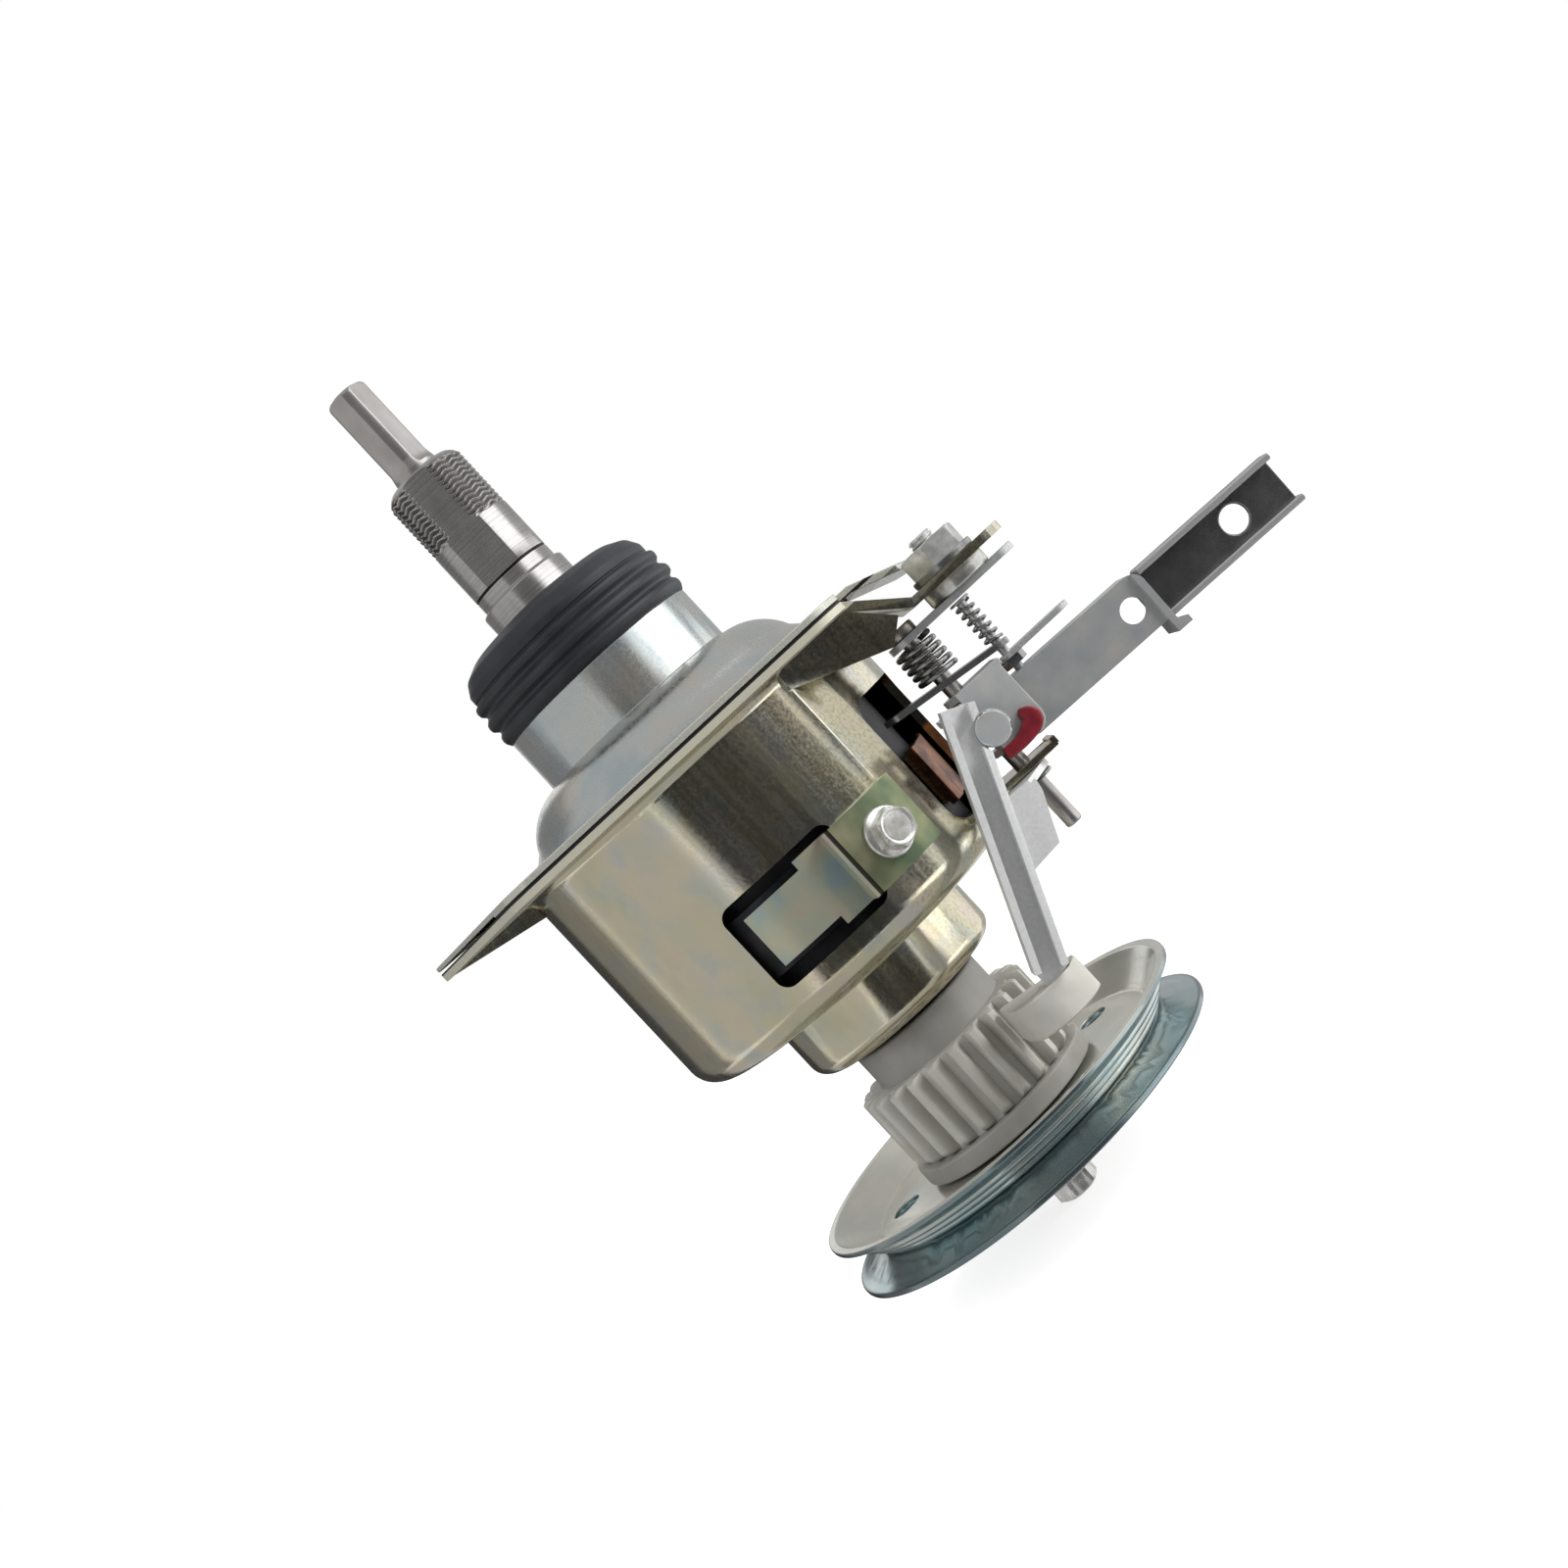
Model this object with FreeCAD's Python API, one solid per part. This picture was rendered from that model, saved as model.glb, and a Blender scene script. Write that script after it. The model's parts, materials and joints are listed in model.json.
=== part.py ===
import FreeCAD, Part
import math
import os

# Reduction clutch of a top-loading washing machine, in millimetres.
# +Z runs up the main shaft, +X points to the lever handle, and the origin lies on the
# main axis where the two flange sheets meet. Angles round the cup are counted in
# degrees from the front (-Y) towards +X.

V = FreeCAD.Vector
os.makedirs("parts", exist_ok=True)

# Clearances
run_gap = 0.05          # a shaft turning in its hole
part_gap = 0.3          # between pieces that move past each other
ball_gap = 0.15         # a ball in its race
gear_backlash = 0.16    # taken off each tooth's thickness

# The cup's radius, which the flange, the dome, the drum, the gears and the lever follow
cup_r = 47.0
cup_wall = 2.0

# Flange and upper housing
upper_sheet = 1.8
lower_sheet = 2.0
flange_r = cup_r + 5.0
ear_hole_x = cup_r - 9.0
ear_hole_y = cup_r - 3.0
ear_hole_r = 4.25
ear_r = 9.0
left_ear_x = cup_r + 17.0
left_ear_r = 9.7
left_slot_r = 3.2
left_ear_gap = 0.7      # the sheets stand apart at the left ear
left_gap_x = -cup_r - 2.5
left_rib = (-cup_r - 24.0, -cup_r + 0.6, 4.6)     # from X, to X, depth at the cup
left_rib_thick = 1.4
neck_r = 26.15
neck_step_r = 25.0
neck_step_z = 27.4
neck_top_z = 34.0
dome_top_z = 13.3
dome_edge = (cup_r - 8.3, 4.7)
dome_mid = (neck_r + 0.5936 * (dome_edge[0] - neck_r), 10.7)
dome_foot_r = cup_r - 5.0
upper_tongue = (cup_r + 5.3, cup_r + 21.0, 18.0)  # from X, to X, half width
upper_tongue_drop = 5.2

# Cup
cup_floor_z = -61.0
cup_corner = 6.5
cup_lip = 3.0
pocket_r = 26.5
pocket_floor_z = -76.8
pocket_corner = 4.0
pocket_sheet = 2.0
pocket_hole_r = 16.0
window_x = (-16.0, 14.0)
window_z = (-51.9, -30.6)
window_corner = 3.0
slot_angles = (47.5, 90.0)
slot_z = (-52.6, -18.0)
slot_corner = 5.0

# Bent ear of the lower sheet, with its stud
ramp_x = (cup_r, cup_r + 12.0)
tab_top_z = -9.7
tab_end_x = cup_r + 37.2
tab_y = (-36.0, -9.0)
tab_corner = 7.0
lip_y = -39.3
lip_thick = 1.6
lip_low = ((cup_r - 19.5, -6.7), (cup_r + 2.2, -14.8))
stud_x = cup_r + 23.7
stud_y = -22.0
stud_r = 3.0
stud_top_z = -0.9
stud_head_r = 8.1
stud_nut_flats = 13.0
stud_nut_high = 5.2
washer_thick = 1.6
washer_r = 8.0

# Ball bearings, both of one size
bearing_bore_r = 12.5
bearing_r = 23.5
bearing_width = 12.0
upper_bearing_z = 16.0
ball_r = 3.3
ball_count = 9
race_wall = 2.7
race_chamfer = 0.8

# Water seal
seal_bottom_z = 27.2
seal_top_z = 47.0
seal_shoulder_r = 20.8
seal_shoulder_z = 45.6
seal_side_r = 26.1
seal_side_z = 41.0
seal_body_low_z = 39.2
seal_lips = ((37.3, 27.1), (33.0, 27.4), (29.0, 27.0))
seal_grooves = ((38.7, 26.2), (35.2, 26.2), (31.0, 26.2))
seal_shoulder_mid = (24.4, 43.8)
seal_lip_half = 0.7
seal_lip_bulge = 0.15
seal_wall = 3.2
seal_rim_high = (2.5, 3.5)            # above the neck's top, at its inner and outer edge
seal_inner_lip = ((5.2, 0.0), (3.2, -4.5), (1.2, -5.0), (0.0, -4.2))
lip_spring_place = (3.4, -4.4)
lip_spring_r = 0.9

# Spin tube
tube_top_z = 86.0
tube_nose = 2.0
tube_nose_r = 9.6
thread_r = 10.35
thread_low_z = 68.8
tube_flats = 18.3
tube_flat_turn = -6.0
flats_low_z = 56.0
tube_neck_r = thread_r
groove_deep = 0.4
groove_high = 0.5
tube_neck_low_z = 52.2
seat_r = 11.6
seat_round = 0.8
tube_bore_r = 8.0
tube_shoulder_r = 14.5
tube_flange_r = 22.0
tube_flange_thick = 2.0
bush_long = 18.0
upper_bush_top_z = 79.0
lower_bush_low_z = -13.0
shaft_seal_high = 5.0

# Pulsator shaft
shaft_r = 5.6
shaft_top_z = 110.9
square_low_z = 90.0
square_half = 4.4
square_corner_r = 5.15
square_turn = 51.7
shaft_tip_round = 1.8
square_runout = 2.4
screw_r = 2.5
screw_deep = 20.0
screw_countersink = 0.6

# Brake drum
band_room = 5.1         # from the drum to the cup's wall
drum_r = cup_r - cup_wall - band_room
drum_wall = 1.8
drum_top_z = -14.0
lid_thick = 2.0
drum_low_z = -54.0
drum_floor = 2.0
journal_collar_r = 15.0
journal_low_z = -90.0
input_bush_long = 16.0

# Gears: one module, four planets
ring_rim = 4.1          # from the drum's inside to the ring gear's pitch circle
sun_teeth = 16
planet_teeth = 26
module = (drum_r - drum_wall - ring_rim) / (sun_teeth / 2 + planet_teeth)
planet_count = 4
pressure_angle = 20.0
addendum = 0.85
dedendum = 1.2
gear_low_z = -41.5
gear_width = 14.0
ring_rim_low = 2.5
planet_pin_r = 3.0
carrier_plate = 3.0
carrier_r = drum_r - 9.9
carrier_hub_r = 11.0
carrier_hub_high = 5.0

# Input shaft, clutch sleeve and pulley
input_r = 6.0
pilot_r = 3.0
pilot_long = 6.0
sleeve_r = 12.2
sleeve_low_z = -106.0
sleeve_foot_r = 14.2
sleeve_foot_high = 2.0
pulley_sheet = 1.5
pulley_web_z = -112.2
upper_rim_r = 51.3
upper_rim_z = -105.4
lower_rim_r = upper_rim_r + 0.5
pulley_flat_r = upper_rim_r - 10.8
lower_rim_z = -118.5
rim_curl = 1.5
pulley_hole_r = 3.75
pulley_hole_circle = upper_rim_r - 18.3
pulley_hole_count = 5
pulley_hole_turn = 29.0
hub_r = 12.5
hub_low_z = -128.7
drive_flats = 10.0
bolt_r = 3.0
bolt_flats = 10.0
bolt_head_high = 5.0
bolt_washer_r = 8.5
bolt_washer_thick = 2.0
bolt_long = 22.0

# Clutch spring and ratchet
spring_wire = 2.0
spring_z = (-103.7, -79.0)
ratchet_collar_r = 17.7
ratchet_top_z = -78.4
ratchet_teeth_top_z = -87.3
ratchet_teeth_low_z = -106.6
ratchet_tip_r = 24.0
ratchet_root_r = 20.6
ratchet_teeth = 24
ratchet_land = 0.26     # share of the tooth pitch that stays at the tip radius
ratchet_phase = 12.2    # degrees
ratchet_disc_r = 24.5
ratchet_disc_low_z = -111.2

# Brake band and its anchor
band_thick = 1.0
lining_thick = 2.3
band_z = (-49.0, -33.5)
band_angles = (60.0, 375.0)
clip_angles = (60.0, 66.0)
clip_thick = 1.1
strap_angles = (-16.0, 15.5)
strap_step_angle = 4.0
strap_step = 2.2
anchor_plate_end = 38.0
anchor_plate_z = (-50.0, -32.8)
anchor_thick = 2.2
strap_gap = 0.2
anchor_bolt_angle = 26.5
anchor_bolt_z = -41.8
anchor_bolt_r = 2.4
anchor_bolt_flats = 8.3
anchor_bolt_head = 4.2
anchor_flange_r = 5.6
anchor_flange_thick = 1.2

# Lever pivot
pin_x = cup_r + 6.6
pin_y = -25.0
pin_r = 2.0
pin_top_z = -12.6
pin_low_z = -69.4
pin_head_r = 3.4
lug_z = -54.1
lug_thick = 1.6
lug_end_x = pin_x + 8.4
lug_foot_angles = (50.0, 74.0)
clip_z = -57.2
clip_ring = 0.8
clip_r = 4.2
guide_z = -16.6
guide_thick = 1.6
guide_end_x = pin_x + 31.0
ear_ring_r = 4.8

# Springs on the pivot and on the post
pivot_spring_mean_r = 4.55
pivot_spring_wire_r = 0.65
pivot_spring_turns = 5.0
pivot_spring_pitch = 1.75
post_spring_mean_r = 1.95
post_spring_wire_r = 0.36
post_spring_turns = 6.0

# Lever
lever_sheet = 1.6
lever_droop = 1.2       # degrees, down towards the handle
bracket_front_y = -32.8
bracket_x = (pin_x - 1.4, pin_x + 10.2)
bracket_top_z = -31.3
bracket_low_z = -49.2
bracket_ear_end_x = pin_x + 10.8
low_ear_end_x = pin_x + 5.8
channel_end_x = pin_x + 45.0
channel_top_z = -36.4
channel_high = 13.0
channel_deep = 10.0
end_tab_over = 3.4
channel_hole = (pin_x + 39.1, -43.0, 2.9)         # X, Z, radius
extension_end_x = pin_x + 82.8
extension_drop = 0.3
extension_deep = 7.0
extension_hole_x = pin_x + 69.6
extension_hole_r = 3.3
brake_plate_z = -28.3
brake_plate_tilt = 7.0
brake_plate_thick = 1.4
brake_plate_half = 4.0
brake_plate_x = (pin_x - 12.2, pin_x + 12.2)
post_x = pin_x + 13.8
post_y = -25.0
post_r = 1.1
post_top_z = -17.0
post_head_thick = 0.6
post_spring_gap = 0.17443
post_seat_z = brake_plate_z + brake_plate_thick / 2 \
    - (post_x - pin_x) * math.tan(math.radians(brake_plate_tilt))
post_spring_pitch = (post_top_z - post_head_thick - 2 * post_spring_wire_r
                     - post_seat_z - post_spring_gap) / post_spring_turns
post_nut_flats = 5.5
post_nut_high = 2.0
post_plate_z = -33.6
post_plate_thick = 1.2
post_plate_end_x = pin_x + 30.8
boss_x = pin_x - 0.6
boss_z = -41.3
boss_r = 4.1
boss_thick = 1.4
boss_shank_r = 2.0
stop_thick = 2.0
stop_low_z = -49.5
stop_bar_z = -45.9
stop_rise_z = -42.4
stop_rise_x = pin_x + 5.4

# Pawl arm
arm_rear_y = -35.2
arm_sheet = 1.6
arm_top = (pin_x - 3.4, -32.8)
arm_foot = (ratchet_tip_r + 3.6, -86.4)
arm_width = 7.6
arm_flange = 4.6
gusset = ((pin_x - 1.1, -55.2), (pin_x - 1.6, -58.0), (pin_x - 4.8, -65.0), (pin_x - 6.4, -68.6),
          (pin_x - 15.5, -69.4), (arm_foot[0] + 10.0, -69.4), (arm_foot[0] + 16.0, -55.2))
low_ear_root = (pin_x - 11.5, pin_x - 2.5)
tang_half = 3.0
tang_low_z = -94.4
tip_z = (-97.4, -88.8)
tip_round = (24.4, -30.0, 9.6)        # X, Y and radius of the shoe's front
tip_round_end = 20.0                  # degrees past the sides
tip_rear = ((33.4, -29.5), (25.0, -27.6))
claw_tip = (13.5, -20.6)
claw_width = 1.6
claw_heel = (14.0, -27.0)
tip_slot = (18.6, 23.0, -34.4, -32.2, 3.2)    # X limits, Y limits, depth


def cylinder(radius, low_z, high_z, x=0.0, y=0.0):
    return Part.makeCylinder(radius, high_z - low_z, V(x, y, low_z))


def tube(inner, outer, low_z, high_z, x=0.0, y=0.0):
    return cylinder(outer, low_z, high_z, x, y).cut(cylinder(inner, low_z - 1, high_z + 1, x, y))


def block(x, y, z):
    """A box from three pairs of limits."""
    return Part.makeBox(x[1] - x[0], y[1] - y[0], z[1] - z[0], V(x[0], y[0], z[0]))


def turned(points):
    """A closed outline of (radius, z) turned round Z; four numbers end an arc through its middle."""
    edges = []
    last = V(points[0][0], 0, points[0][1])
    for item in list(points[1:]) + [points[0][:2]]:
        end = V(item[-2], 0, item[-1])
        if len(item) == 4:
            edges.append(Part.Arc(last, V(item[0], 0, item[1]), end).toShape())
        elif end.distanceToPoint(last) > 1e-6:
            edges.append(Part.LineSegment(last, end).toShape())
        last = end
    face = Part.Face(Part.Wire(edges))
    return face.revolve(V(0, 0, 0), V(0, 0, 1), 360)


def prism_z(points, low_z, high_z):
    """A plate of the given (x, y) outline."""
    wire = Part.makePolygon([V(x, y, low_z) for x, y in list(points) + [points[0]]])
    return Part.Face(wire).extrude(V(0, 0, high_z - low_z))


def prism_y(points, near_y, far_y):
    """A plate of the given (x, z) outline, standing square to Y."""
    wire = Part.makePolygon([V(x, near_y, z) for x, z in list(points) + [points[0]]])
    return Part.Face(wire).extrude(V(0, far_y - near_y, 0))


def hexagon(flats, low_z, high_z, x=0.0, y=0.0, turn=0.0):
    radius = flats / math.sqrt(3)
    corners = [(x + radius * math.cos(math.radians(turn + 60 * i)),
                y + radius * math.sin(math.radians(turn + 60 * i))) for i in range(6)]
    return prism_z(corners, low_z, high_z)


def around(angle, radius):
    """The (x, y) at an angle counted from the front towards +X."""
    a = math.radians(angle)
    return radius * math.sin(a), -radius * math.cos(a)


def sector(inner, outer, angles, z):
    """A curved strip of the cup's round, between two angles."""
    start, end = angles
    strip = Part.makeCylinder(outer, z[1] - z[0], V(0, 0, z[0]), V(0, 0, 1), end - start)
    strip = strip.cut(cylinder(inner, z[0] - 1, z[1] + 1))
    strip.rotate(V(0, 0, 0), V(0, 0, 1), start - 90)
    return strip


def merged(first, *others):
    return first.fuse(list(others)).removeSplitter()


def rounded_hull(circles, low_z, high_z):
    """A plate that wraps a ring of circles (x, y, radius), given counter-clockwise."""
    edges = []
    tangents = []
    count = len(circles)
    for i in range(count):
        ax, ay, ar = circles[i]
        bx, by, br = circles[(i + 1) % count]
        dist = math.hypot(bx - ax, by - ay)
        heading = math.atan2(by - ay, bx - ax)
        normal = heading - math.acos((ar - br) / dist)
        tangents.append((V(ax + ar * math.cos(normal), ay + ar * math.sin(normal), low_z),
                         V(bx + br * math.cos(normal), by + br * math.sin(normal), low_z), normal))
    for i in range(count):
        start, end, normal = tangents[i]
        edges.append(Part.LineSegment(start, end).toShape())
        cx, cy, cr = circles[(i + 1) % count]
        following = tangents[(i + 1) % count][2]
        while following < normal:
            following += 2 * math.pi
        middle = (normal + following) / 2
        mid = V(cx + cr * math.cos(middle), cy + cr * math.sin(middle), low_z)
        edges.append(Part.Arc(end, mid, tangents[(i + 1) % count][0]).toShape())
    return Part.Face(Part.Wire(edges)).extrude(V(0, 0, high_z - low_z))


def save(name, shape):
    shape.exportStep("parts/" + name + ".step")
    sizes = shape.BoundBox
    print(name, len(shape.Solids), "solids", round(shape.Volume, 1), "mm3",
          [round(v, 1) for v in (sizes.XMin, sizes.XMax, sizes.YMin, sizes.YMax, sizes.ZMin, sizes.ZMax)],
          "" if shape.isValid() else "NOT VALID")


# Flange outline, shared by both sheets

def flange_plate(low_z, high_z):
    ears = [(ear_hole_x, -ear_hole_y, ear_r), (ear_hole_x, ear_hole_y, ear_r),
            (-ear_hole_x, ear_hole_y, ear_r), (-left_ear_x, 0.0, left_ear_r),
            (-ear_hole_x, -ear_hole_y, ear_r)]
    plate = rounded_hull(ears, low_z, high_z).fuse(cylinder(flange_r, low_z, high_z))
    holes = [cylinder(ear_hole_r, low_z - 1, high_z + 1, sx * ear_hole_x, sy * ear_hole_y)
             for sx in (-1, 1) for sy in (-1, 1)]
    holes.append(cylinder(left_slot_r, low_z - 1, high_z + 1, -left_ear_x, 0.0))
    return plate.cut(holes).removeSplitter()


# Upper housing: one drawn sheet from the bearing neck over the dome to the flange

def circle_through(a, b, c):
    """Centre and radius of the circle through three (r, z) points."""
    d = 2 * (a[0] * (b[1] - c[1]) + b[0] * (c[1] - a[1]) + c[0] * (a[1] - b[1]))
    sums = [p[0] ** 2 + p[1] ** 2 for p in (a, b, c)]
    x = (sums[0] * (b[1] - c[1]) + sums[1] * (c[1] - a[1]) + sums[2] * (a[1] - b[1])) / d
    y = (sums[0] * (c[0] - b[0]) + sums[1] * (a[0] - c[0]) + sums[2] * (b[0] - a[0])) / d
    return (x, y), math.dist((x, y), a)


def moved_in(point, centre, depth):
    """A point of an arc moved towards its centre, for the sheet's inner face."""
    far = math.dist(point, centre)
    return tuple(p + (c - p) * depth / far for p, c in zip(point, centre))


def upper_housing():
    outer = [(neck_r, dome_top_z), dome_mid, dome_edge]
    centre, radius = circle_through(*outer)
    inner_mid = moved_in(dome_mid, centre, upper_sheet)
    inner_edge = moved_in(dome_edge, centre, upper_sheet)
    inner_top_z = centre[1] + math.sqrt((radius - upper_sheet) ** 2 - (bearing_r - centre[0]) ** 2)
    shell = turned([
        (bearing_r, neck_top_z), (neck_step_r, neck_top_z), (neck_step_r, neck_step_z),
        (neck_r, neck_step_z - 0.6), (neck_r, dome_top_z), dome_mid + dome_edge,
        (dome_foot_r, upper_sheet), (flange_r - 2, upper_sheet), (flange_r - 2, 0),
        (dome_foot_r - upper_sheet, 0), inner_edge, inner_mid + (bearing_r, inner_top_z)])
    ledge = turned([(bearing_r - 2.2, inner_top_z - 1.2), (bearing_r + 1.0, inner_top_z - 1.2),
                    (bearing_r + 1.0, upper_bearing_z), (bearing_r - 2.2, upper_bearing_z)])
    start, end, half = upper_tongue
    tongue = prism_y([(start - 6, 0), (start - 6, upper_sheet), (start, upper_sheet),
                      (end, upper_sheet - upper_tongue_drop), (end, -upper_tongue_drop),
                      (start, 0)], -half, half)
    tongue = tongue.common(cylinder(end, -upper_tongue_drop - 1, upper_sheet + 1))
    nut_room = cylinder(washer_r + part_gap, -upper_tongue_drop - 1, upper_sheet + 1, stud_x, stud_y)
    tongue = tongue.cut(nut_room)
    sheet = flange_plate(0, upper_sheet).cut(cylinder(dome_foot_r, -1, upper_sheet + 1))
    apart = block((-left_ear_x - left_ear_r - 1, left_gap_x), (-ear_hole_y, ear_hole_y), (-1, left_ear_gap))
    return merged(shell, ledge, sheet, tongue).cut(apart)


# Lower housing: cup, bearing pocket, flange sheet and bent ear, drawn from one sheet

def cup_body():
    floor_in = cup_floor_z + cup_wall
    inner_r = cup_r - cup_wall
    k = 1 - math.sqrt(0.5)
    corner_in = cup_corner - cup_wall
    pocket_in = pocket_corner - pocket_sheet
    pocket_low = pocket_floor_z + pocket_sheet
    lip_in = cup_lip
    return turned([
        (inner_r, 0), (inner_r, floor_in + corner_in),
        (inner_r - corner_in * k, floor_in + corner_in * k, inner_r - corner_in, floor_in),
        (bearing_r + 1.2, floor_in), (bearing_r, floor_in - 1.2),
        (bearing_r, pocket_low), (pocket_hole_r, pocket_low), (pocket_hole_r, pocket_floor_z),
        (pocket_r - pocket_corner, pocket_floor_z),
        (pocket_r - pocket_corner * k, pocket_floor_z + pocket_corner * k,
         pocket_r, pocket_floor_z + pocket_corner),
        (pocket_r, cup_floor_z - pocket_in), (pocket_r + pocket_in, cup_floor_z),
        (cup_r - cup_corner, cup_floor_z),
        (cup_r - cup_corner * k, cup_floor_z + cup_corner * k, cup_r, cup_floor_z + cup_corner),
        (cup_r, -lower_sheet - lip_in),
        (cup_r + lip_in * k, -lower_sheet - lip_in * k, cup_r + lip_in, -lower_sheet),
        (cup_r + lip_in, 0)])


def rounded_opening(half, z, corner, depth):
    """A window through a wall that faces -Y, as a solid to cut away."""
    opening = block((-half, half), (-depth, 0), z)
    upright = [e for e in opening.Edges if abs(e.tangentAt(e.FirstParameter).y) > 0.99]
    return opening.makeFillet(corner, upright)


def left_ribs():
    """Two small ribs under the edges of the left ear, deepest at the cup."""
    start, end, deep = left_rib
    outline = [(start, -lower_sheet), (end, -lower_sheet), (end, -lower_sheet - deep)]
    edge = left_ear_r - 0.8
    return [prism_y(outline, -edge, -edge + left_rib_thick), prism_y(outline, edge - left_rib_thick, edge)]


def bent_ear():
    """The ear bends down to a level tab and keeps a stiffening lip along its front."""
    low_tab = tab_top_z - lower_sheet
    profile = [(ramp_x[0] - 6, 0), (ramp_x[0], 0), (ramp_x[1], tab_top_z), (tab_end_x, tab_top_z),
               (tab_end_x, low_tab), (ramp_x[1] - 1.1, low_tab), (ramp_x[0] - 1.1, -lower_sheet),
               (ramp_x[0] - 6, -lower_sheet)]
    ear = prism_y(profile, *tab_y)
    corners = [e for e in ear.Edges if abs(e.tangentAt(e.FirstParameter).z) > 0.99
               and e.BoundBox.XMin > tab_end_x - 0.1]
    ear = ear.makeFillet(tab_corner, corners)
    lip = prism_y([(lip_low[0][0], -lower_sheet + 0.5), lip_low[0], lip_low[1],
                   (ramp_x[1] - 4.6, low_tab + 1.2), (ramp_x[0] - 1.1, -lower_sheet + 0.5)],
                  lip_y, lip_y + lip_thick)
    joining = prism_y(profile[0:3] + [(ramp_x[1] - 1.1, low_tab), (ramp_x[0] - 1.1, -lower_sheet),
                                      (ramp_x[0] - 6, -lower_sheet)], lip_y, tab_y[0])
    return ear, lip, joining


def lower_housing():
    sheet = flange_plate(-lower_sheet, 0).cut(cylinder(cup_r, -lower_sheet - 1, 1))
    ramp_room = block((ramp_x[0] - 1, flange_r + 1), (lip_y, tab_y[1]), (-lower_sheet - 1, 1))
    ear, lip, joining = bent_ear()
    trim = cylinder(cup_r - 0.5, -lower_sheet - 20, 1)
    holes = [cylinder(ear_hole_r, -30, 1, ear_hole_x, -ear_hole_y),
             cylinder(stud_r, tab_top_z - 6, tab_top_z + 1, stud_x, stud_y),
             Part.makeCylinder(anchor_bolt_r, 12, anchor_place(cup_r - 6),
                               V(*around(anchor_bolt_angle, 1), 0))]
    pieces = [sheet.cut(ramp_room), ear.cut(trim), lip.cut(trim), joining.cut(trim)] + left_ribs()
    body = merged(cup_body(), *pieces).cut(holes)
    middle = sum(window_x) / 2
    window = rounded_opening((window_x[1] - window_x[0]) / 2, window_z, window_corner, cup_r + 5)
    window.translate(V(middle, 0, 0))
    window = window.cut(block((-cup_r, cup_r), (-cup_r + 12, 1), (cup_floor_z, 0)))
    turn = sum(slot_angles) / 2
    half = cup_r * math.sin(math.radians((slot_angles[1] - slot_angles[0]) / 2))
    slot = rounded_opening(half, slot_z, slot_corner, cup_r + 5)
    slot = slot.cut(block((-cup_r, cup_r), (-cup_r / 2, 1), (cup_floor_z, 0)))
    slot.rotate(V(0, 0, 0), V(0, 0, 1), turn)
    return body.cut([window, slot]).removeSplitter()


def tab_stud():
    low = tab_top_z - lower_sheet
    head = cylinder(stud_head_r, guide_z + guide_thick, low, stud_x, stud_y)
    return merged(head, cylinder(stud_r, guide_z + guide_thick, stud_top_z, stud_x, stud_y))


def tab_washer():
    return tube(stud_r, washer_r, tab_top_z, tab_top_z + washer_thick, stud_x, stud_y)


def tab_nut():
    low = tab_top_z + washer_thick
    nut = hexagon(stud_nut_flats, low, low + stud_nut_high, stud_x, stud_y, 12)
    nut = nut.common(turned([(0, low), (stud_nut_flats * 0.58, low),
                             (stud_nut_flats * 0.58, low + stud_nut_high - 0.5),
                             (stud_nut_flats * 0.5, low + stud_nut_high), (0, low + stud_nut_high)]
                            ).translated(V(stud_x, stud_y, 0)))
    return nut.cut(cylinder(stud_r, low - 1, low + stud_nut_high + 1, stud_x, stud_y))


# Ball bearings

def bearing_rings(low_z):
    high = low_z + bearing_width
    mid = (low_z + high) / 2
    pitch = (bearing_bore_r + bearing_r) / 2
    c = race_chamfer
    race = Part.makeTorus(pitch, ball_r + ball_gap, V(0, 0, mid))
    outer = turned([(bearing_r - race_wall, low_z), (bearing_r - c, low_z), (bearing_r, low_z + c),
                    (bearing_r, high - c), (bearing_r - c, high), (bearing_r - race_wall, high)])
    inner_out = bearing_bore_r + race_wall
    inner = turned([(bearing_bore_r + c, low_z), (inner_out, low_z), (inner_out, high),
                    (bearing_bore_r + c, high), (bearing_bore_r, high - c), (bearing_bore_r, low_z + c)])
    return outer.cut(race), inner.cut(race)


def ball_set(low_z):
    """The balls in their moulded cage."""
    mid = low_z + bearing_width / 2
    pitch = (bearing_bore_r + bearing_r) / 2
    cage = tube(pitch - 1.2, pitch + 1.2, mid - ball_r - 0.6, mid + 1.2)
    balls = []
    for i in range(ball_count):
        a = 2 * math.pi * i / ball_count
        place = V(pitch * math.cos(a), pitch * math.sin(a), mid)
        cage = cage.cut(Part.makeSphere(ball_r + ball_gap, place))
        balls.append(Part.makeSphere(ball_r, place))
    return Part.Compound([cage] + balls)


# Water seal: a rubber cap over the neck, with three lips for the tub

def lip_spring_ring():
    out, rise = lip_spring_place
    return Part.makeTorus(seat_r + part_gap + out, lip_spring_r, V(0, 0, seal_top_z - seal_wall + rise))


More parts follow.
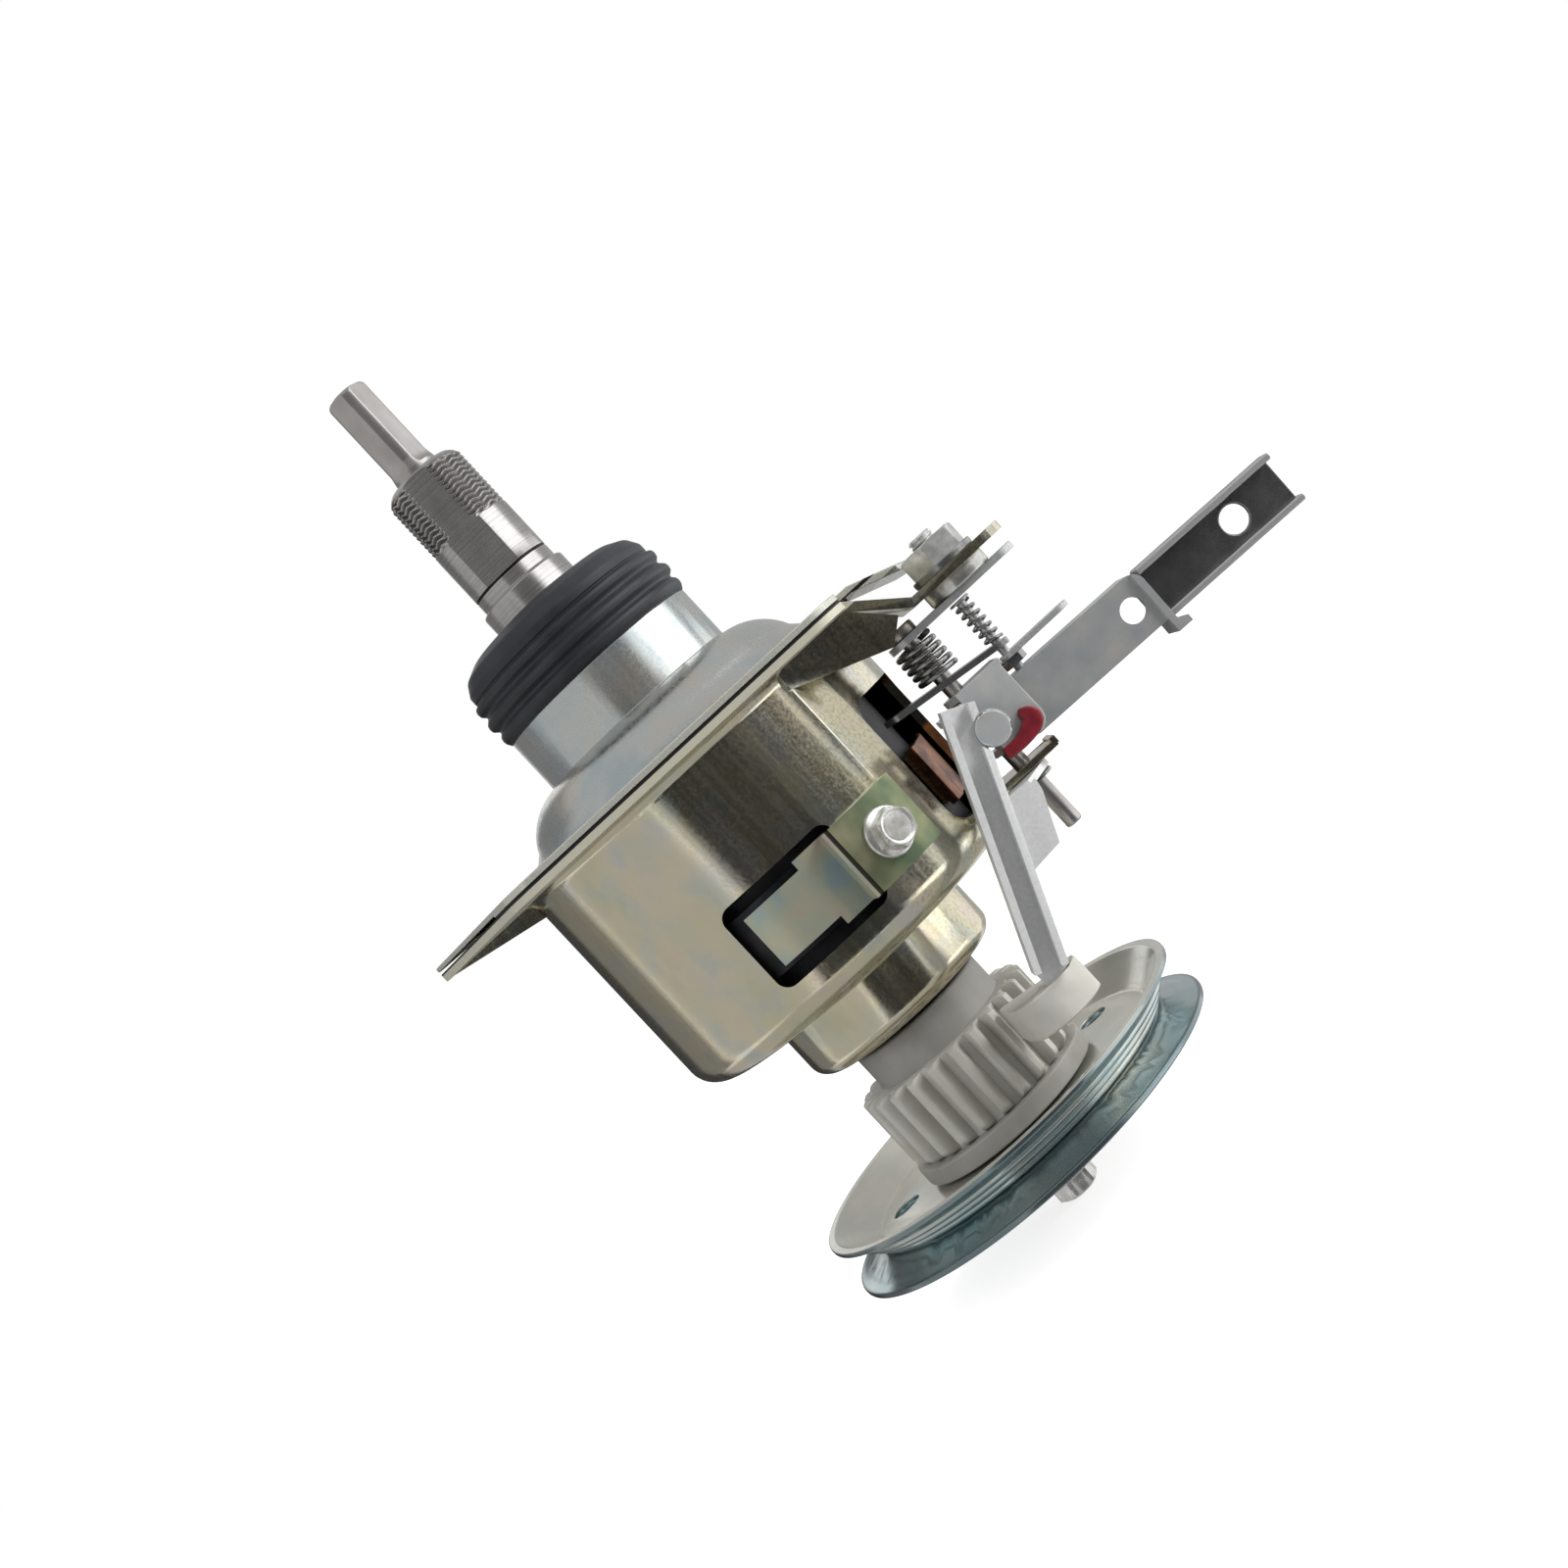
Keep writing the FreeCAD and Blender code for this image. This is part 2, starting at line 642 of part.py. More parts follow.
def water_seal():
    inner_r = seat_r + part_gap
    under = seal_top_z - seal_wall
    side_in = seal_side_r - seal_wall
    outline = [(inner_r, seal_top_z), (seal_shoulder_r, seal_shoulder_z),
               seal_shoulder_mid + (seal_side_r, seal_side_z), (seal_side_r, seal_body_low_z)]
    for (groove_z, groove_r), (lip_z, lip_r) in zip(seal_grooves, seal_lips):
        outline.append((groove_r, groove_z))
        outline.append((lip_r, lip_z + seal_lip_half))
        outline.append((lip_r + seal_lip_bulge, lip_z, lip_r, lip_z - seal_lip_half))
    outline += [(seal_side_r + 0.3, seal_bottom_z), (neck_r, seal_bottom_z), (neck_r, neck_step_z - 0.6),
                (neck_step_r, neck_step_z), (neck_step_r, neck_top_z), (bearing_r, neck_top_z),
                (bearing_r, neck_top_z + seal_rim_high[0]), (side_in, neck_top_z + seal_rim_high[1]),
                (side_in, under - seal_wall), (side_in - seal_wall, under)]
    outline += [(inner_r + out, under + rise) for out, rise in seal_inner_lip]
    return turned(outline).cut(lip_spring_ring())


def seal_lip_spring():
    return lip_spring_ring()


# Spin tube with thread, flats and flange

def spin_tube():
    upper_high = upper_bearing_z + bearing_width
    flange_low = drum_top_z
    outline = [(tube_bore_r, tube_top_z), (tube_nose_r - 1.2, tube_top_z),
               (tube_nose_r, tube_top_z - 0.9), (thread_r, tube_top_z - tube_nose),
               (thread_r, thread_low_z),
               (tube_neck_r, thread_low_z - 0.5), (tube_neck_r, flats_low_z),
               (tube_neck_r - groove_deep, flats_low_z),
               (tube_neck_r - groove_deep, flats_low_z - groove_high),
               (tube_neck_r, flats_low_z - groove_high), (tube_neck_r, tube_neck_low_z),
               (seat_r - seat_round, tube_neck_low_z), (seat_r, tube_neck_low_z - seat_round),
               (seat_r, upper_high), (bearing_bore_r, upper_high), (bearing_bore_r, upper_bearing_z),
               (tube_shoulder_r, upper_bearing_z), (tube_shoulder_r, flange_low + tube_flange_thick),
               (tube_flange_r, flange_low + tube_flange_thick), (tube_flange_r, flange_low),
               (tube_bore_r, flange_low)]
    body = turned(outline)
    half = tube_flats / 2
    outer = block((-20, 20), (-20, 20), (flats_low_z, tube_top_z + 1))
    between = block((-21, 21), (-half, half), (flats_low_z - 1, tube_top_z + 2))
    flats = outer.cut(between)
    flats.rotate(V(0, 0, 0), V(0, 0, 1), tube_flat_turn)
    return body.cut(flats)


def tube_bush(low_z):
    return tube(shaft_r + run_gap, tube_bore_r, low_z, low_z + bush_long)


def shaft_seal():
    low = upper_bush_top_z + 0.5
    high = low + shaft_seal_high
    return turned([(shaft_r + part_gap, high), (tube_bore_r, high), (tube_bore_r, low),
                   (shaft_r + 1.2, low), (shaft_r + part_gap, low + 1.2)])


# Pulsator shaft: round in the tube, square with rounded corners at the top

def pulsator_shaft():
    low = gear_top_z() + part_gap
    body = cylinder(shaft_r, low, shaft_top_z)
    side = 2 * square_half
    square = block((-square_half, square_half), (-square_half, square_half),
                   (square_low_z, shaft_top_z + 1))
    flare = shaft_r - square_half
    skirt = Part.makeLoft([Part.makePolygon([V(x * h, y * h, z) for x, y in
                                             ((-1, -1), (1, -1), (1, 1), (-1, 1), (-1, -1))])
                           for h, z in ((square_half + flare, square_low_z - square_runout),
                                        (square_half, square_low_z))], True)
    keep = merged(square, skirt, block((-side, side), (-side, side), (low - 1, square_low_z - square_runout)))
    body = body.common(keep)
    k = 1 - math.sqrt(0.5)
    runout_z = square_low_z - square_runout
    corners = turned([(0, low - 1), (shaft_r + 1, low - 1), (shaft_r + 1, runout_z), (shaft_r, runout_z),
                      (square_corner_r, square_low_z), (square_corner_r, shaft_top_z - shaft_tip_round),
                      (square_corner_r - shaft_tip_round * k, shaft_top_z - shaft_tip_round * k,
                       square_corner_r - shaft_tip_round, shaft_top_z), (0, shaft_top_z)])
    body = body.common(corners)
    body = body.cut([cylinder(screw_r, shaft_top_z - screw_deep, shaft_top_z + 1),
                     Part.makeCone(screw_r, screw_r + screw_countersink, screw_countersink,
                                   V(0, 0, shaft_top_z - screw_countersink)),
                     cylinder(pilot_r + run_gap, low - 1, low + pilot_long + 1)])
    body.rotate(V(0, 0, 0), V(0, 0, 1), square_turn)
    return body


# Brake drum with its lower journal, and the lid under the spin tube

def brake_drum():
    inner = drum_r - drum_wall
    bearing_top = pocket_floor_z + pocket_sheet + bearing_width
    return turned([(inner, drum_top_z - lid_thick), (drum_r, drum_top_z - lid_thick), (drum_r, drum_low_z),
                   (journal_collar_r, drum_low_z), (journal_collar_r, bearing_top),
                   (bearing_bore_r, bearing_top), (bearing_bore_r, journal_low_z),
                   (tube_bore_r, journal_low_z), (tube_bore_r, drum_low_z + drum_floor),
                   (inner, drum_low_z + drum_floor)])


def drum_lid():
    low = drum_top_z - lid_thick
    lid = tube(shaft_r + 1.0, drum_r, low, drum_top_z)
    return lid


def input_bush(low_z):
    return tube(input_r + run_gap, tube_bore_r, low_z, low_z + input_bush_long)


# Gears

def gear_top_z():
    return gear_low_z + gear_width


def ring_teeth():
    return sun_teeth + 2 * planet_teeth


def planet_circle():
    return module * (sun_teeth + planet_teeth) / 2


def involute(angle):
    return math.tan(angle) - angle


def tooth_outline(teeth, root_r, tip_r, thickness, first_angle):
    """Closed wire of a spur gear; each flank is an arc through three involute points."""
    pitch_r = module * teeth / 2
    base_r = pitch_r * math.cos(math.radians(pressure_angle))
    flank_r = max(base_r, root_r)
    middle_r = (flank_r + tip_r) / 2

    def half_angle(radius):
        at = math.acos(min(1.0, base_r / radius))
        return thickness / (2 * pitch_r) + involute(math.radians(pressure_angle)) - involute(at)

    def spot(radius, angle):
        return V(radius * math.cos(angle), radius * math.sin(angle), 0)

    edges = []
    step = 2 * math.pi / teeth
    for i in range(teeth):
        a = math.radians(first_angle) + i * step
        low, mid, top = half_angle(flank_r), half_angle(middle_r), half_angle(tip_r)
        if flank_r > root_r + 1e-6:
            edges.append(Part.LineSegment(spot(root_r, a - low), spot(flank_r, a - low)).toShape())
        rising = Part.Arc(spot(flank_r, a - low), spot(middle_r, a - mid), spot(tip_r, a - top))
        land = Part.Arc(spot(tip_r, a - top), spot(tip_r, a), spot(tip_r, a + top))
        falling = Part.Arc(spot(tip_r, a + top), spot(middle_r, a + mid), spot(flank_r, a + low))
        edges += [rising.toShape(), land.toShape(), falling.toShape()]
        if flank_r > root_r + 1e-6:
            edges.append(Part.LineSegment(spot(flank_r, a + low), spot(root_r, a + low)).toShape())
        edges.append(Part.Arc(spot(root_r, a + low), spot(root_r, a + step / 2),
                              spot(root_r, a + step - low)).toShape())
    return Part.Wire(edges)


def spur_gear(teeth, first_angle, low_z, high_z):
    pitch_r = module * teeth / 2
    wire = tooth_outline(teeth, pitch_r - module * dedendum, pitch_r + module * addendum,
                         math.pi * module / 2 - gear_backlash, first_angle)
    gear = Part.Face(wire).extrude(V(0, 0, high_z - low_z))
    gear.translate(V(0, 0, low_z))
    return gear


def planet_gear(index):
    """A gap faces the sun's tooth and another faces the ring's tooth."""
    turn = 360.0 * index / planet_count
    gear = spur_gear(planet_teeth, 180.0 / planet_teeth, gear_low_z, gear_top_z())
    gear = gear.cut(cylinder(planet_pin_r + run_gap, gear_low_z - 1, gear_top_z() + 1))
    gear.translate(V(planet_circle(), 0, 0))
    gear.rotate(V(0, 0, 0), V(0, 0, 1), turn)
    return gear


def ring_gear():
    """The tooth spaces have the form of an outer gear's teeth."""
    teeth = ring_teeth()
    pitch_r = module * teeth / 2
    space = tooth_outline(teeth, pitch_r - module * addendum, pitch_r + module * dedendum,
                          math.pi * module / 2 + gear_backlash, 180.0 / teeth)
    low = gear_low_z - ring_rim_low
    high = gear_top_z() + ring_rim_low
    cut = Part.Face(space).extrude(V(0, 0, high - low + 2))
    cut.translate(V(0, 0, low - 1))
    return cylinder(drum_r - drum_wall, low, high).cut(cut)


def planet_places():
    return [around(90 + 360.0 * i / planet_count, planet_circle()) for i in range(planet_count)]


def carrier_top():
    low = gear_top_z() + part_gap
    plate = merged(cylinder(carrier_r, low, low + carrier_plate),
                   cylinder(carrier_hub_r, low, low + carrier_plate + carrier_hub_high))
    holes = [cylinder(planet_pin_r, low - 1, low + carrier_plate + 1, x, y) for x, y in planet_places()]
    return plate.cut(holes + [cylinder(shaft_r, low - 1, low + 20)])


def carrier_bottom():
    high = gear_low_z - part_gap
    plate = cylinder(carrier_r, high - carrier_plate, high)
    holes = [cylinder(planet_pin_r, high - carrier_plate - 1, high + 1, x, y) for x, y in planet_places()]
    return plate.cut(holes + [cylinder(input_r + part_gap, high - carrier_plate - 1, high + 1)])


def planet_pins():
    low = gear_low_z - part_gap - carrier_plate
    high = gear_top_z() + part_gap + carrier_plate
    return Part.Compound([cylinder(planet_pin_r, low, high, x, y) for x, y in planet_places()])


# Input shaft, sleeve and pulley

def drive_form(clear, low_z, high_z):
    """Round bar with two flats that turns the hub."""
    half = drive_flats / 2 + clear
    bar = cylinder(input_r + clear, low_z, high_z)
    return bar.common(block((-half, half), (-input_r - 1, input_r + 1), (low_z, high_z)))


def input_shaft():
    bar = cylinder(input_r, sleeve_low_z, gear_low_z)
    sun = spur_gear(sun_teeth, 0.0, gear_low_z, gear_top_z())
    pilot = cylinder(pilot_r, gear_top_z(), gear_top_z() + pilot_long)
    drive = drive_form(0, hub_low_z, sleeve_low_z)
    shaft = merged(bar, sun, pilot, drive)
    return shaft.cut(cylinder(bolt_r, hub_low_z - 1, hub_low_z + bolt_long))


def clutch_sleeve():
    """Pressed on the input shaft; the clutch spring grips its outside."""
    top = journal_low_z - part_gap
    return turned([(input_r, top), (sleeve_r, top), (sleeve_r, sleeve_low_z + sleeve_foot_high),
                   (sleeve_foot_r, sleeve_low_z + sleeve_foot_high), (sleeve_foot_r, pulley_web_z),
                   (drive_flats, pulley_web_z), (drive_flats, sleeve_low_z), (input_r, sleeve_low_z)])


def pulley_holes(low_z, high_z):
    cuts = []
    for i in range(pulley_hole_count):
        a = math.radians(pulley_hole_turn + 360.0 * i / pulley_hole_count)
        cuts.append(cylinder(pulley_hole_r, low_z, high_z,
                             pulley_hole_circle * math.cos(a), pulley_hole_circle * math.sin(a)))
    return cuts


def pulley_half(rim_r, rim_z, way):
    """A pressed disc; way is +1 for the half that opens upwards and -1 for the lower one."""
    web_face = pulley_web_z if way > 0 else pulley_web_z - 2 * pulley_sheet
    joint = pulley_web_z - pulley_sheet
    back = web_face - way * pulley_sheet
    drop = way * pulley_sheet
    bend_r = pulley_flat_r + rim_curl
    disc = turned([(hub_r, back), (bend_r, back), (rim_r - 2.2, rim_z - drop * 1.05),
                   (rim_r, rim_z - drop * 0.95), (rim_r, rim_z), (rim_r - 2.2, rim_z - drop * 0.1),
                   (bend_r - 0.9, web_face + drop * 0.25), (pulley_flat_r, web_face), (hub_r, web_face)])
    low, high = sorted((joint, web_face))
    return disc.cut(pulley_holes(low - 1, high + 1))


def pulley_hub():
    """Turned hub pressed into both discs; its bore has the shaft's two flats."""
    high = pulley_web_z
    hub = turned([(0, high), (hub_r, high), (hub_r, hub_low_z + 1), (hub_r - 1, hub_low_z), (0, hub_low_z)])
    return hub.cut(drive_form(0, hub_low_z - 1, high + 1))


def pulley_washer():
    return tube(bolt_r, bolt_washer_r, hub_low_z - bolt_washer_thick, hub_low_z)


def pulley_bolt():
    top = hub_low_z - bolt_washer_thick
    head = hexagon(bolt_flats, top - bolt_head_high, top, 0, 0, 10)
    round_off = turned([(0, top), (bolt_flats, top), (bolt_flats * 0.58, top - bolt_head_high + 0.8),
                        (bolt_flats * 0.5, top - bolt_head_high), (0, top - bolt_head_high)])
    return merged(head.common(round_off), cylinder(bolt_r, top, hub_low_z + bolt_long - 2))


# Clutch spring (square wire, closed by the ratchet) and ratchet wheel

def clutch_spring():
    return tube(bearing_bore_r, bearing_bore_r + spring_wire, *spring_z)


def ratchet_wheel():
    """Saw teeth: a steep face, a land at the tip and a long slope down to the next root."""
    bore = bearing_bore_r + spring_wire + part_gap
    pitch = 360.0 / ratchet_teeth
    points = []
    for i in range(ratchet_teeth):
        a = ratchet_phase + i * pitch
        for part, radius in ((0.0, ratchet_root_r), (0.06, ratchet_tip_r),
                             (0.06 + ratchet_land, ratchet_tip_r), (0.62, ratchet_root_r)):
            at = math.radians(a + part * pitch)
            points.append((radius * math.cos(at), radius * math.sin(at)))
    teeth = prism_z(points, ratchet_teeth_low_z, ratchet_teeth_top_z)
    collar = cylinder(ratchet_collar_r, ratchet_teeth_top_z, ratchet_top_z)
    disc = cylinder(ratchet_disc_r, ratchet_disc_low_z, ratchet_teeth_low_z)
    bored = cylinder(bore, ratchet_disc_low_z - 1, ratchet_top_z + 1)
    return merged(teeth, collar, disc).cut(bored)


# Brake band round the drum, its lining and the anchor on the cup

def lining_outer_r():
    return drum_r + part_gap + lining_thick


def brake_band():
    inner = lining_outer_r()
    band = sector(inner, inner + band_thick, band_angles, band_z)
    clip = sector(inner + band_thick, inner + band_thick + clip_thick, clip_angles, band_z)
    return merged(band, clip)


def brake_lining():
    outer = lining_outer_r()
    angles = (band_angles[0] + 3, band_angles[1] - 3)
    return sector(outer - lining_thick, outer, angles, (band_z[0] + 1, band_z[1] - 1))


def anchor_place(radius):
    x, y = around(anchor_bolt_angle, radius)
    return V(x, y, anchor_bolt_z)


def band_anchor():
    """A strap lies on the band behind the window, steps out and is bolted to the cup."""
    inner = lining_outer_r() + band_thick
    strap = sector(inner, cup_r - cup_wall - strap_gap, strap_angles,
                   (anchor_plate_z[0] + strap_step, anchor_plate_z[1] - strap_step))
    wide = sector(inner, cup_r - cup_wall - strap_gap, (strap_step_angle, strap_angles[1]), anchor_plate_z)
    step = sector(inner, cup_r + anchor_thick, (strap_angles[1] - 2.2, strap_angles[1]), anchor_plate_z)
    plate = sector(cup_r, cup_r + anchor_thick, (strap_angles[1] - 2.2, anchor_plate_end),
                   anchor_plate_z)
    hole = Part.makeCylinder(anchor_bolt_r, 12, anchor_place(cup_r - 6),
                             V(*around(anchor_bolt_angle, 1), 0))
    return merged(strap, wide, step, plate).cut(hole)


def anchor_bolt():
    """Flange bolt through the plate and the cup wall, with its seat flat on the plate."""
    out = V(*around(anchor_bolt_angle, 1), 0)
    seat = anchor_thick + cup_wall
    low = seat + anchor_flange_thick
    shank = cylinder(anchor_bolt_r, 0, seat)
    collar = cylinder(anchor_flange_r, seat, low)
    head = hexagon(anchor_bolt_flats, low, low + anchor_bolt_head, 0, 0, 12)
    bolt = merged(shank, collar, head)
    bolt.Placement = FreeCAD.Placement(anchor_place(cup_r - cup_wall), FreeCAD.Rotation(V(0, 0, 1), out))
    return bolt


# Lever pivot: pin, clip, upper guide plate and lower lug

def pivot_pin():
    low_groove = clip_z
    pin = merged(cylinder(pin_r, pin_low_z, pin_top_z, pin_x, pin_y),
                 cylinder(pin_head_r, guide_z + guide_thick, pin_top_z, pin_x, pin_y))
    groove = tube(pin_r - 0.5, pin_r + 1, low_groove, low_groove + clip_ring, pin_x, pin_y)
    return pin.cut(groove)


def pivot_clip():
    ring = tube(pin_r - 0.5, clip_r, clip_z, clip_z + clip_ring, pin_x, pin_y)
    mouth = block((pin_x - 1.3, pin_x + 1.3), (pin_y, pin_y + clip_r + 1), (clip_z - 1, clip_z + 2))
    return ring.cut(mouth)


def guide_plate():
    high = guide_z + guide_thick
    plate = rounded_hull([(pin_x, pin_y, ear_ring_r), (guide_end_x - 5, stud_y, 5.0),
                          (pin_x + 6, pin_y + 2, ear_ring_r)], guide_z, high)
    return plate.cut([cylinder(pin_r, guide_z - 1, high + 1, pin_x, pin_y)])


def lower_lug():
    """Sheet lug welded to the cup under the slot; the pin stands in it."""
    foot = [around(a, cup_r - 1) for a in lug_foot_angles]
    high = lug_z + lug_thick
    plate = prism_z([foot[0], (pin_x - 3, pin_y - ear_ring_r), (lug_end_x, pin_y - ear_ring_r),
                     (lug_end_x, pin_y + ear_ring_r), foot[1]], lug_z, high)
    plate = plate.cut(cylinder(cup_r, lug_z - 1, high + 1))
    lip = block((lug_end_x - 1.2, lug_end_x + 0.4), (pin_y - ear_ring_r, pin_y + ear_ring_r),
                (lug_z + 0.4, high + 0.8))
    return merged(plate, lip).cut(cylinder(pin_r, lug_z - 1, high + 1, pin_x, pin_y))


# Coil springs

def coil(mean_r, wire_r, turns, pitch, x, y, top_z):
    """A round wire wound downwards on biarcs of a quarter turn."""
    quarters = int(round(turns * 4))
    rise = -pitch / (2 * math.pi)
    length = math.hypot(mean_r, rise)

    def at(angle):
        return V(x + mean_r * math.cos(angle), y + mean_r * math.sin(angle), top_z + rise * angle)

    def along(angle):
        return V(-mean_r * math.sin(angle) / length, mean_r * math.cos(angle) / length, rise / length)

    def bent(start, corner, end):
        half = (start + end) * 0.5
        reach = start.distanceToPoint(half)
        height = corner.distanceToPoint(half)
        sagitta = reach * math.tan(math.atan2(height, reach) / 2)
        return Part.Arc(start, half + (corner - half) * (sagitta / height), end).toShape()

    edges = []
    for i in range(quarters):
        a, b = at(i * math.pi / 2), at((i + 1) * math.pi / 2)
        ta, tb = along(i * math.pi / 2), along((i + 1) * math.pi / 2)
        gap = b - a
        both = ta + tb
        c0 = gap.dot(gap)
        c1 = gap.dot(both)
        c2 = both.dot(both) - 4
        reach = (c1 - math.sqrt(c1 * c1 - c2 * c0)) / c2
        p, q = a + ta * reach, b - tb * reach
        joint = (p + q) * 0.5
        edges += [bent(a, p, joint), bent(joint, q, b)]
    path = Part.Wire(edges)
    ring = Part.Wire(Part.Circle(at(0), along(0), wire_r).toShape())
    spots = [at(k * math.pi / 24) for k in range(quarters * 12 + 1)]
    least = min(spots[i].distanceToPoint(spots[j]) for i in range(len(spots))
                for j in range(i + 24, len(spots)))
    print("coil's least gap to itself", round(least - 2 * wire_r, 3), "mm")
    return path.makePipeShell([ring], True, False)


def pivot_spring():
    top = guide_z - pivot_spring_wire_r
    return coil(pivot_spring_mean_r, pivot_spring_wire_r, pivot_spring_turns, pivot_spring_pitch,
                pin_x, pin_y, top)


def post_spring():
    top = post_top_z - post_head_thick - post_spring_wire_r
    return coil(post_spring_mean_r, post_spring_wire_r, post_spring_turns, post_spring_pitch,
                post_x, post_y, top)


# Lever: bracket on the pin, channel, handle extension, brake plate and post

def droop(shape):
    shape.rotate(V(pin_x, 0, channel_top_z), V(0, 1, 0), lever_droop)
    return shape


def lever_bracket():
    near = bracket_front_y
    face = block(bracket_x, (near, near + lever_sheet), (bracket_low_z, bracket_top_z))
    corner = [e for e in face.Edges if abs(e.tangentAt(e.FirstParameter).y) > 0.99
              and e.BoundBox.ZMax < bracket_low_z + 0.1 and e.BoundBox.XMin > bracket_x[1] - 0.1]
    face = face.makeFillet(3.5, corner)
    ear_low = bracket_top_z - lever_sheet
    top_ear = prism_z([(bracket_x[0], near), (bracket_ear_end_x, near),
                       (bracket_ear_end_x, pin_y + ear_ring_r), (pin_x, pin_y + ear_ring_r),
                       (pin_x - ear_ring_r + 1, pin_y + 1), (bracket_x[0] - 2, pin_y - 3)],
                      ear_low, bracket_top_z)
    foot_z = bracket_low_z + 1.6
    low_ear = prism_z([(bracket_x[0], near), (low_ear_end_x, near), (low_ear_end_x, pin_y + ear_ring_r),
                       (pin_x, pin_y + ear_ring_r), (pin_x - ear_ring_r + 1, pin_y + 1),
                       (bracket_x[0] - 2, pin_y - 3)], foot_z, foot_z + lever_sheet)
    holes = [cylinder(pin_r + run_gap, foot_z - 1, bracket_top_z + 1, pin_x, pin_y),
             Part.makeCylinder(boss_shank_r, 10, V(boss_x, near - 2, boss_z), V(0, 1, 0))]
    return merged(face, top_ear, low_ear).cut(holes)


def lever_channel():
    near = bracket_front_y + lever_sheet
    low = channel_top_z - channel_high
    t = lever_sheet
    start = bracket_x[1] - 3.3
    web = block((start, channel_end_x), (near, near + t), (low, channel_top_z))
    fold_x = bracket_x[1] + 0.4
    top = block((fold_x, channel_end_x), (near, near + channel_deep), (channel_top_z - t, channel_top_z))
    bottom = block((fold_x, channel_end_x - 6), (near, near + channel_deep), (low, low + t))
    end_tab = block((channel_end_x - t, channel_end_x), (near - 1.2, near + channel_deep),
                    (low - end_tab_over, channel_top_z))
    hook = block((channel_end_x - t, channel_end_x + 2.2), (near - 1.2, near + channel_deep),
                 (low - end_tab_over, low - end_tab_over + t))
    hole = Part.makeCylinder(channel_hole[2], 12, V(channel_hole[0], near - 2, channel_hole[1]),
                             V(0, 1, 0))
    body = merged(web, top, bottom, end_tab, hook).cut(hole)
    bend = [e for e in body.Edges if abs(e.tangentAt(e.FirstParameter).y) > 0.99
            and e.BoundBox.XMin > channel_end_x - 0.1 and e.BoundBox.ZMin > channel_top_z - 0.1]
    body = body.makeFillet(3.0, bend)
    shank = Part.makeCylinder(boss_shank_r + 0.4, 30, V(boss_x, near - 12, boss_z), V(0, 1, 0))
    post = cylinder(post_r, channel_top_z - 12, channel_top_z + 4, post_x, post_y)
    return droop(body).cut([shank, post])


def lever_extension():
    """Channel that opens to the front, welded to the end tab."""
    near = bracket_front_y + lever_sheet
    t = lever_sheet
    high = channel_top_z - extension_drop
    low = high - channel_high
    rear = near + extension_deep
    web = block((channel_end_x, extension_end_x), (rear - t, rear), (low, high))
    top = block((channel_end_x, extension_end_x), (near, rear), (high - t, high))
    bottom = block((channel_end_x, extension_end_x), (near, rear), (low, low + t))
    hole = Part.makeCylinder(extension_hole_r, 20, V(extension_hole_x, near - 2, (low + high) / 2),
                             V(0, 1, 0))
    return droop(merged(web, top, bottom).cut(hole))


def brake_plate():
    """Flat plate on the pin; its round end reaches through the slot to the band."""
    low = brake_plate_z - brake_plate_thick / 2
    plate = rounded_hull([(brake_plate_x[0], pin_y + 1.6, brake_plate_half),
                          (brake_plate_x[1], post_y, brake_plate_half)], low, low + brake_plate_thick)
    plate.rotate(V(pin_x, 0, brake_plate_z), V(0, 1, 0), brake_plate_tilt)
    return plate.cut([cylinder(pin_r + run_gap, low - 9, low + 9, pin_x, pin_y),
                      cylinder(post_r + 0.2, low - 9, low + 9, post_x, post_y)])


def spring_post():
    foot = channel_top_z - 4
    head_r = post_spring_mean_r + post_spring_wire_r + 0.2
    head = cylinder(head_r, post_top_z - post_head_thick, post_top_z, post_x, post_y)
    return merged(cylinder(post_r, foot, post_top_z, post_x, post_y), head)


def post_plate():
    high = post_plate_z + post_plate_thick
    plate = rounded_hull([(post_x + 1, post_y, 3.6), (post_plate_end_x - 3.6, post_y, 3.6)],
                         post_plate_z, high)
    return plate.cut(cylinder(post_r, post_plate_z - 1, high + 1, post_x, post_y))


def post_nut():
    high = post_plate_z
    nut = hexagon(post_nut_flats, high - post_nut_high, high, post_x, post_y, 0)
    return nut.cut(cylinder(post_r, high - post_nut_high - 1, high + 1, post_x, post_y))


def lever_boss():
    """Rivet with a broad round head that stands in front of the bracket."""
    seat = arm_rear_y - arm_sheet - part_gap
    head = Part.makeCylinder(boss_r, boss_thick, V(boss_x, seat - boss_thick, boss_z), V(0, 1, 0))
    rim = [e for e in head.Edges if e.BoundBox.YMax < seat - boss_thick + 0.1]
    head = head.makeChamfer(0.4, rim[:1])
    shank = Part.makeCylinder(boss_shank_r, bracket_front_y + lever_sheet - seat,
                              V(boss_x, seat, boss_z), V(0, 1, 0))
    return merged(head, shank)


def red_stop():
    near = bracket_front_y - stop_thick
    left, right = bracket_x[0], bracket_x[1] - 0.2
    outline = [(left, stop_low_z), (right, stop_low_z), (right, stop_rise_z),
               (stop_rise_x + 1.6, stop_rise_z), (stop_rise_x - 1.6, stop_bar_z), (left, stop_bar_z)]
    body = prism_y(outline, near, bracket_front_y)
    edges = [e for e in body.Edges if abs(e.tangentAt(e.FirstParameter).y) > 0.99
             and e.BoundBox.XMin > right - 0.1]
    return body.makeFillet(1.8, edges)


# Pawl arm with its two ears, and the nylon shoe on its foot whose claw stops the ratchet

def arm_tang():
    """The arm's foot, which stands in the shoe."""
    return block((arm_foot[0] - tang_half, arm_foot[0] + tang_half), (arm_rear_y - arm_sheet, arm_rear_y),
                 (tang_low_z, arm_foot[1] + 3))


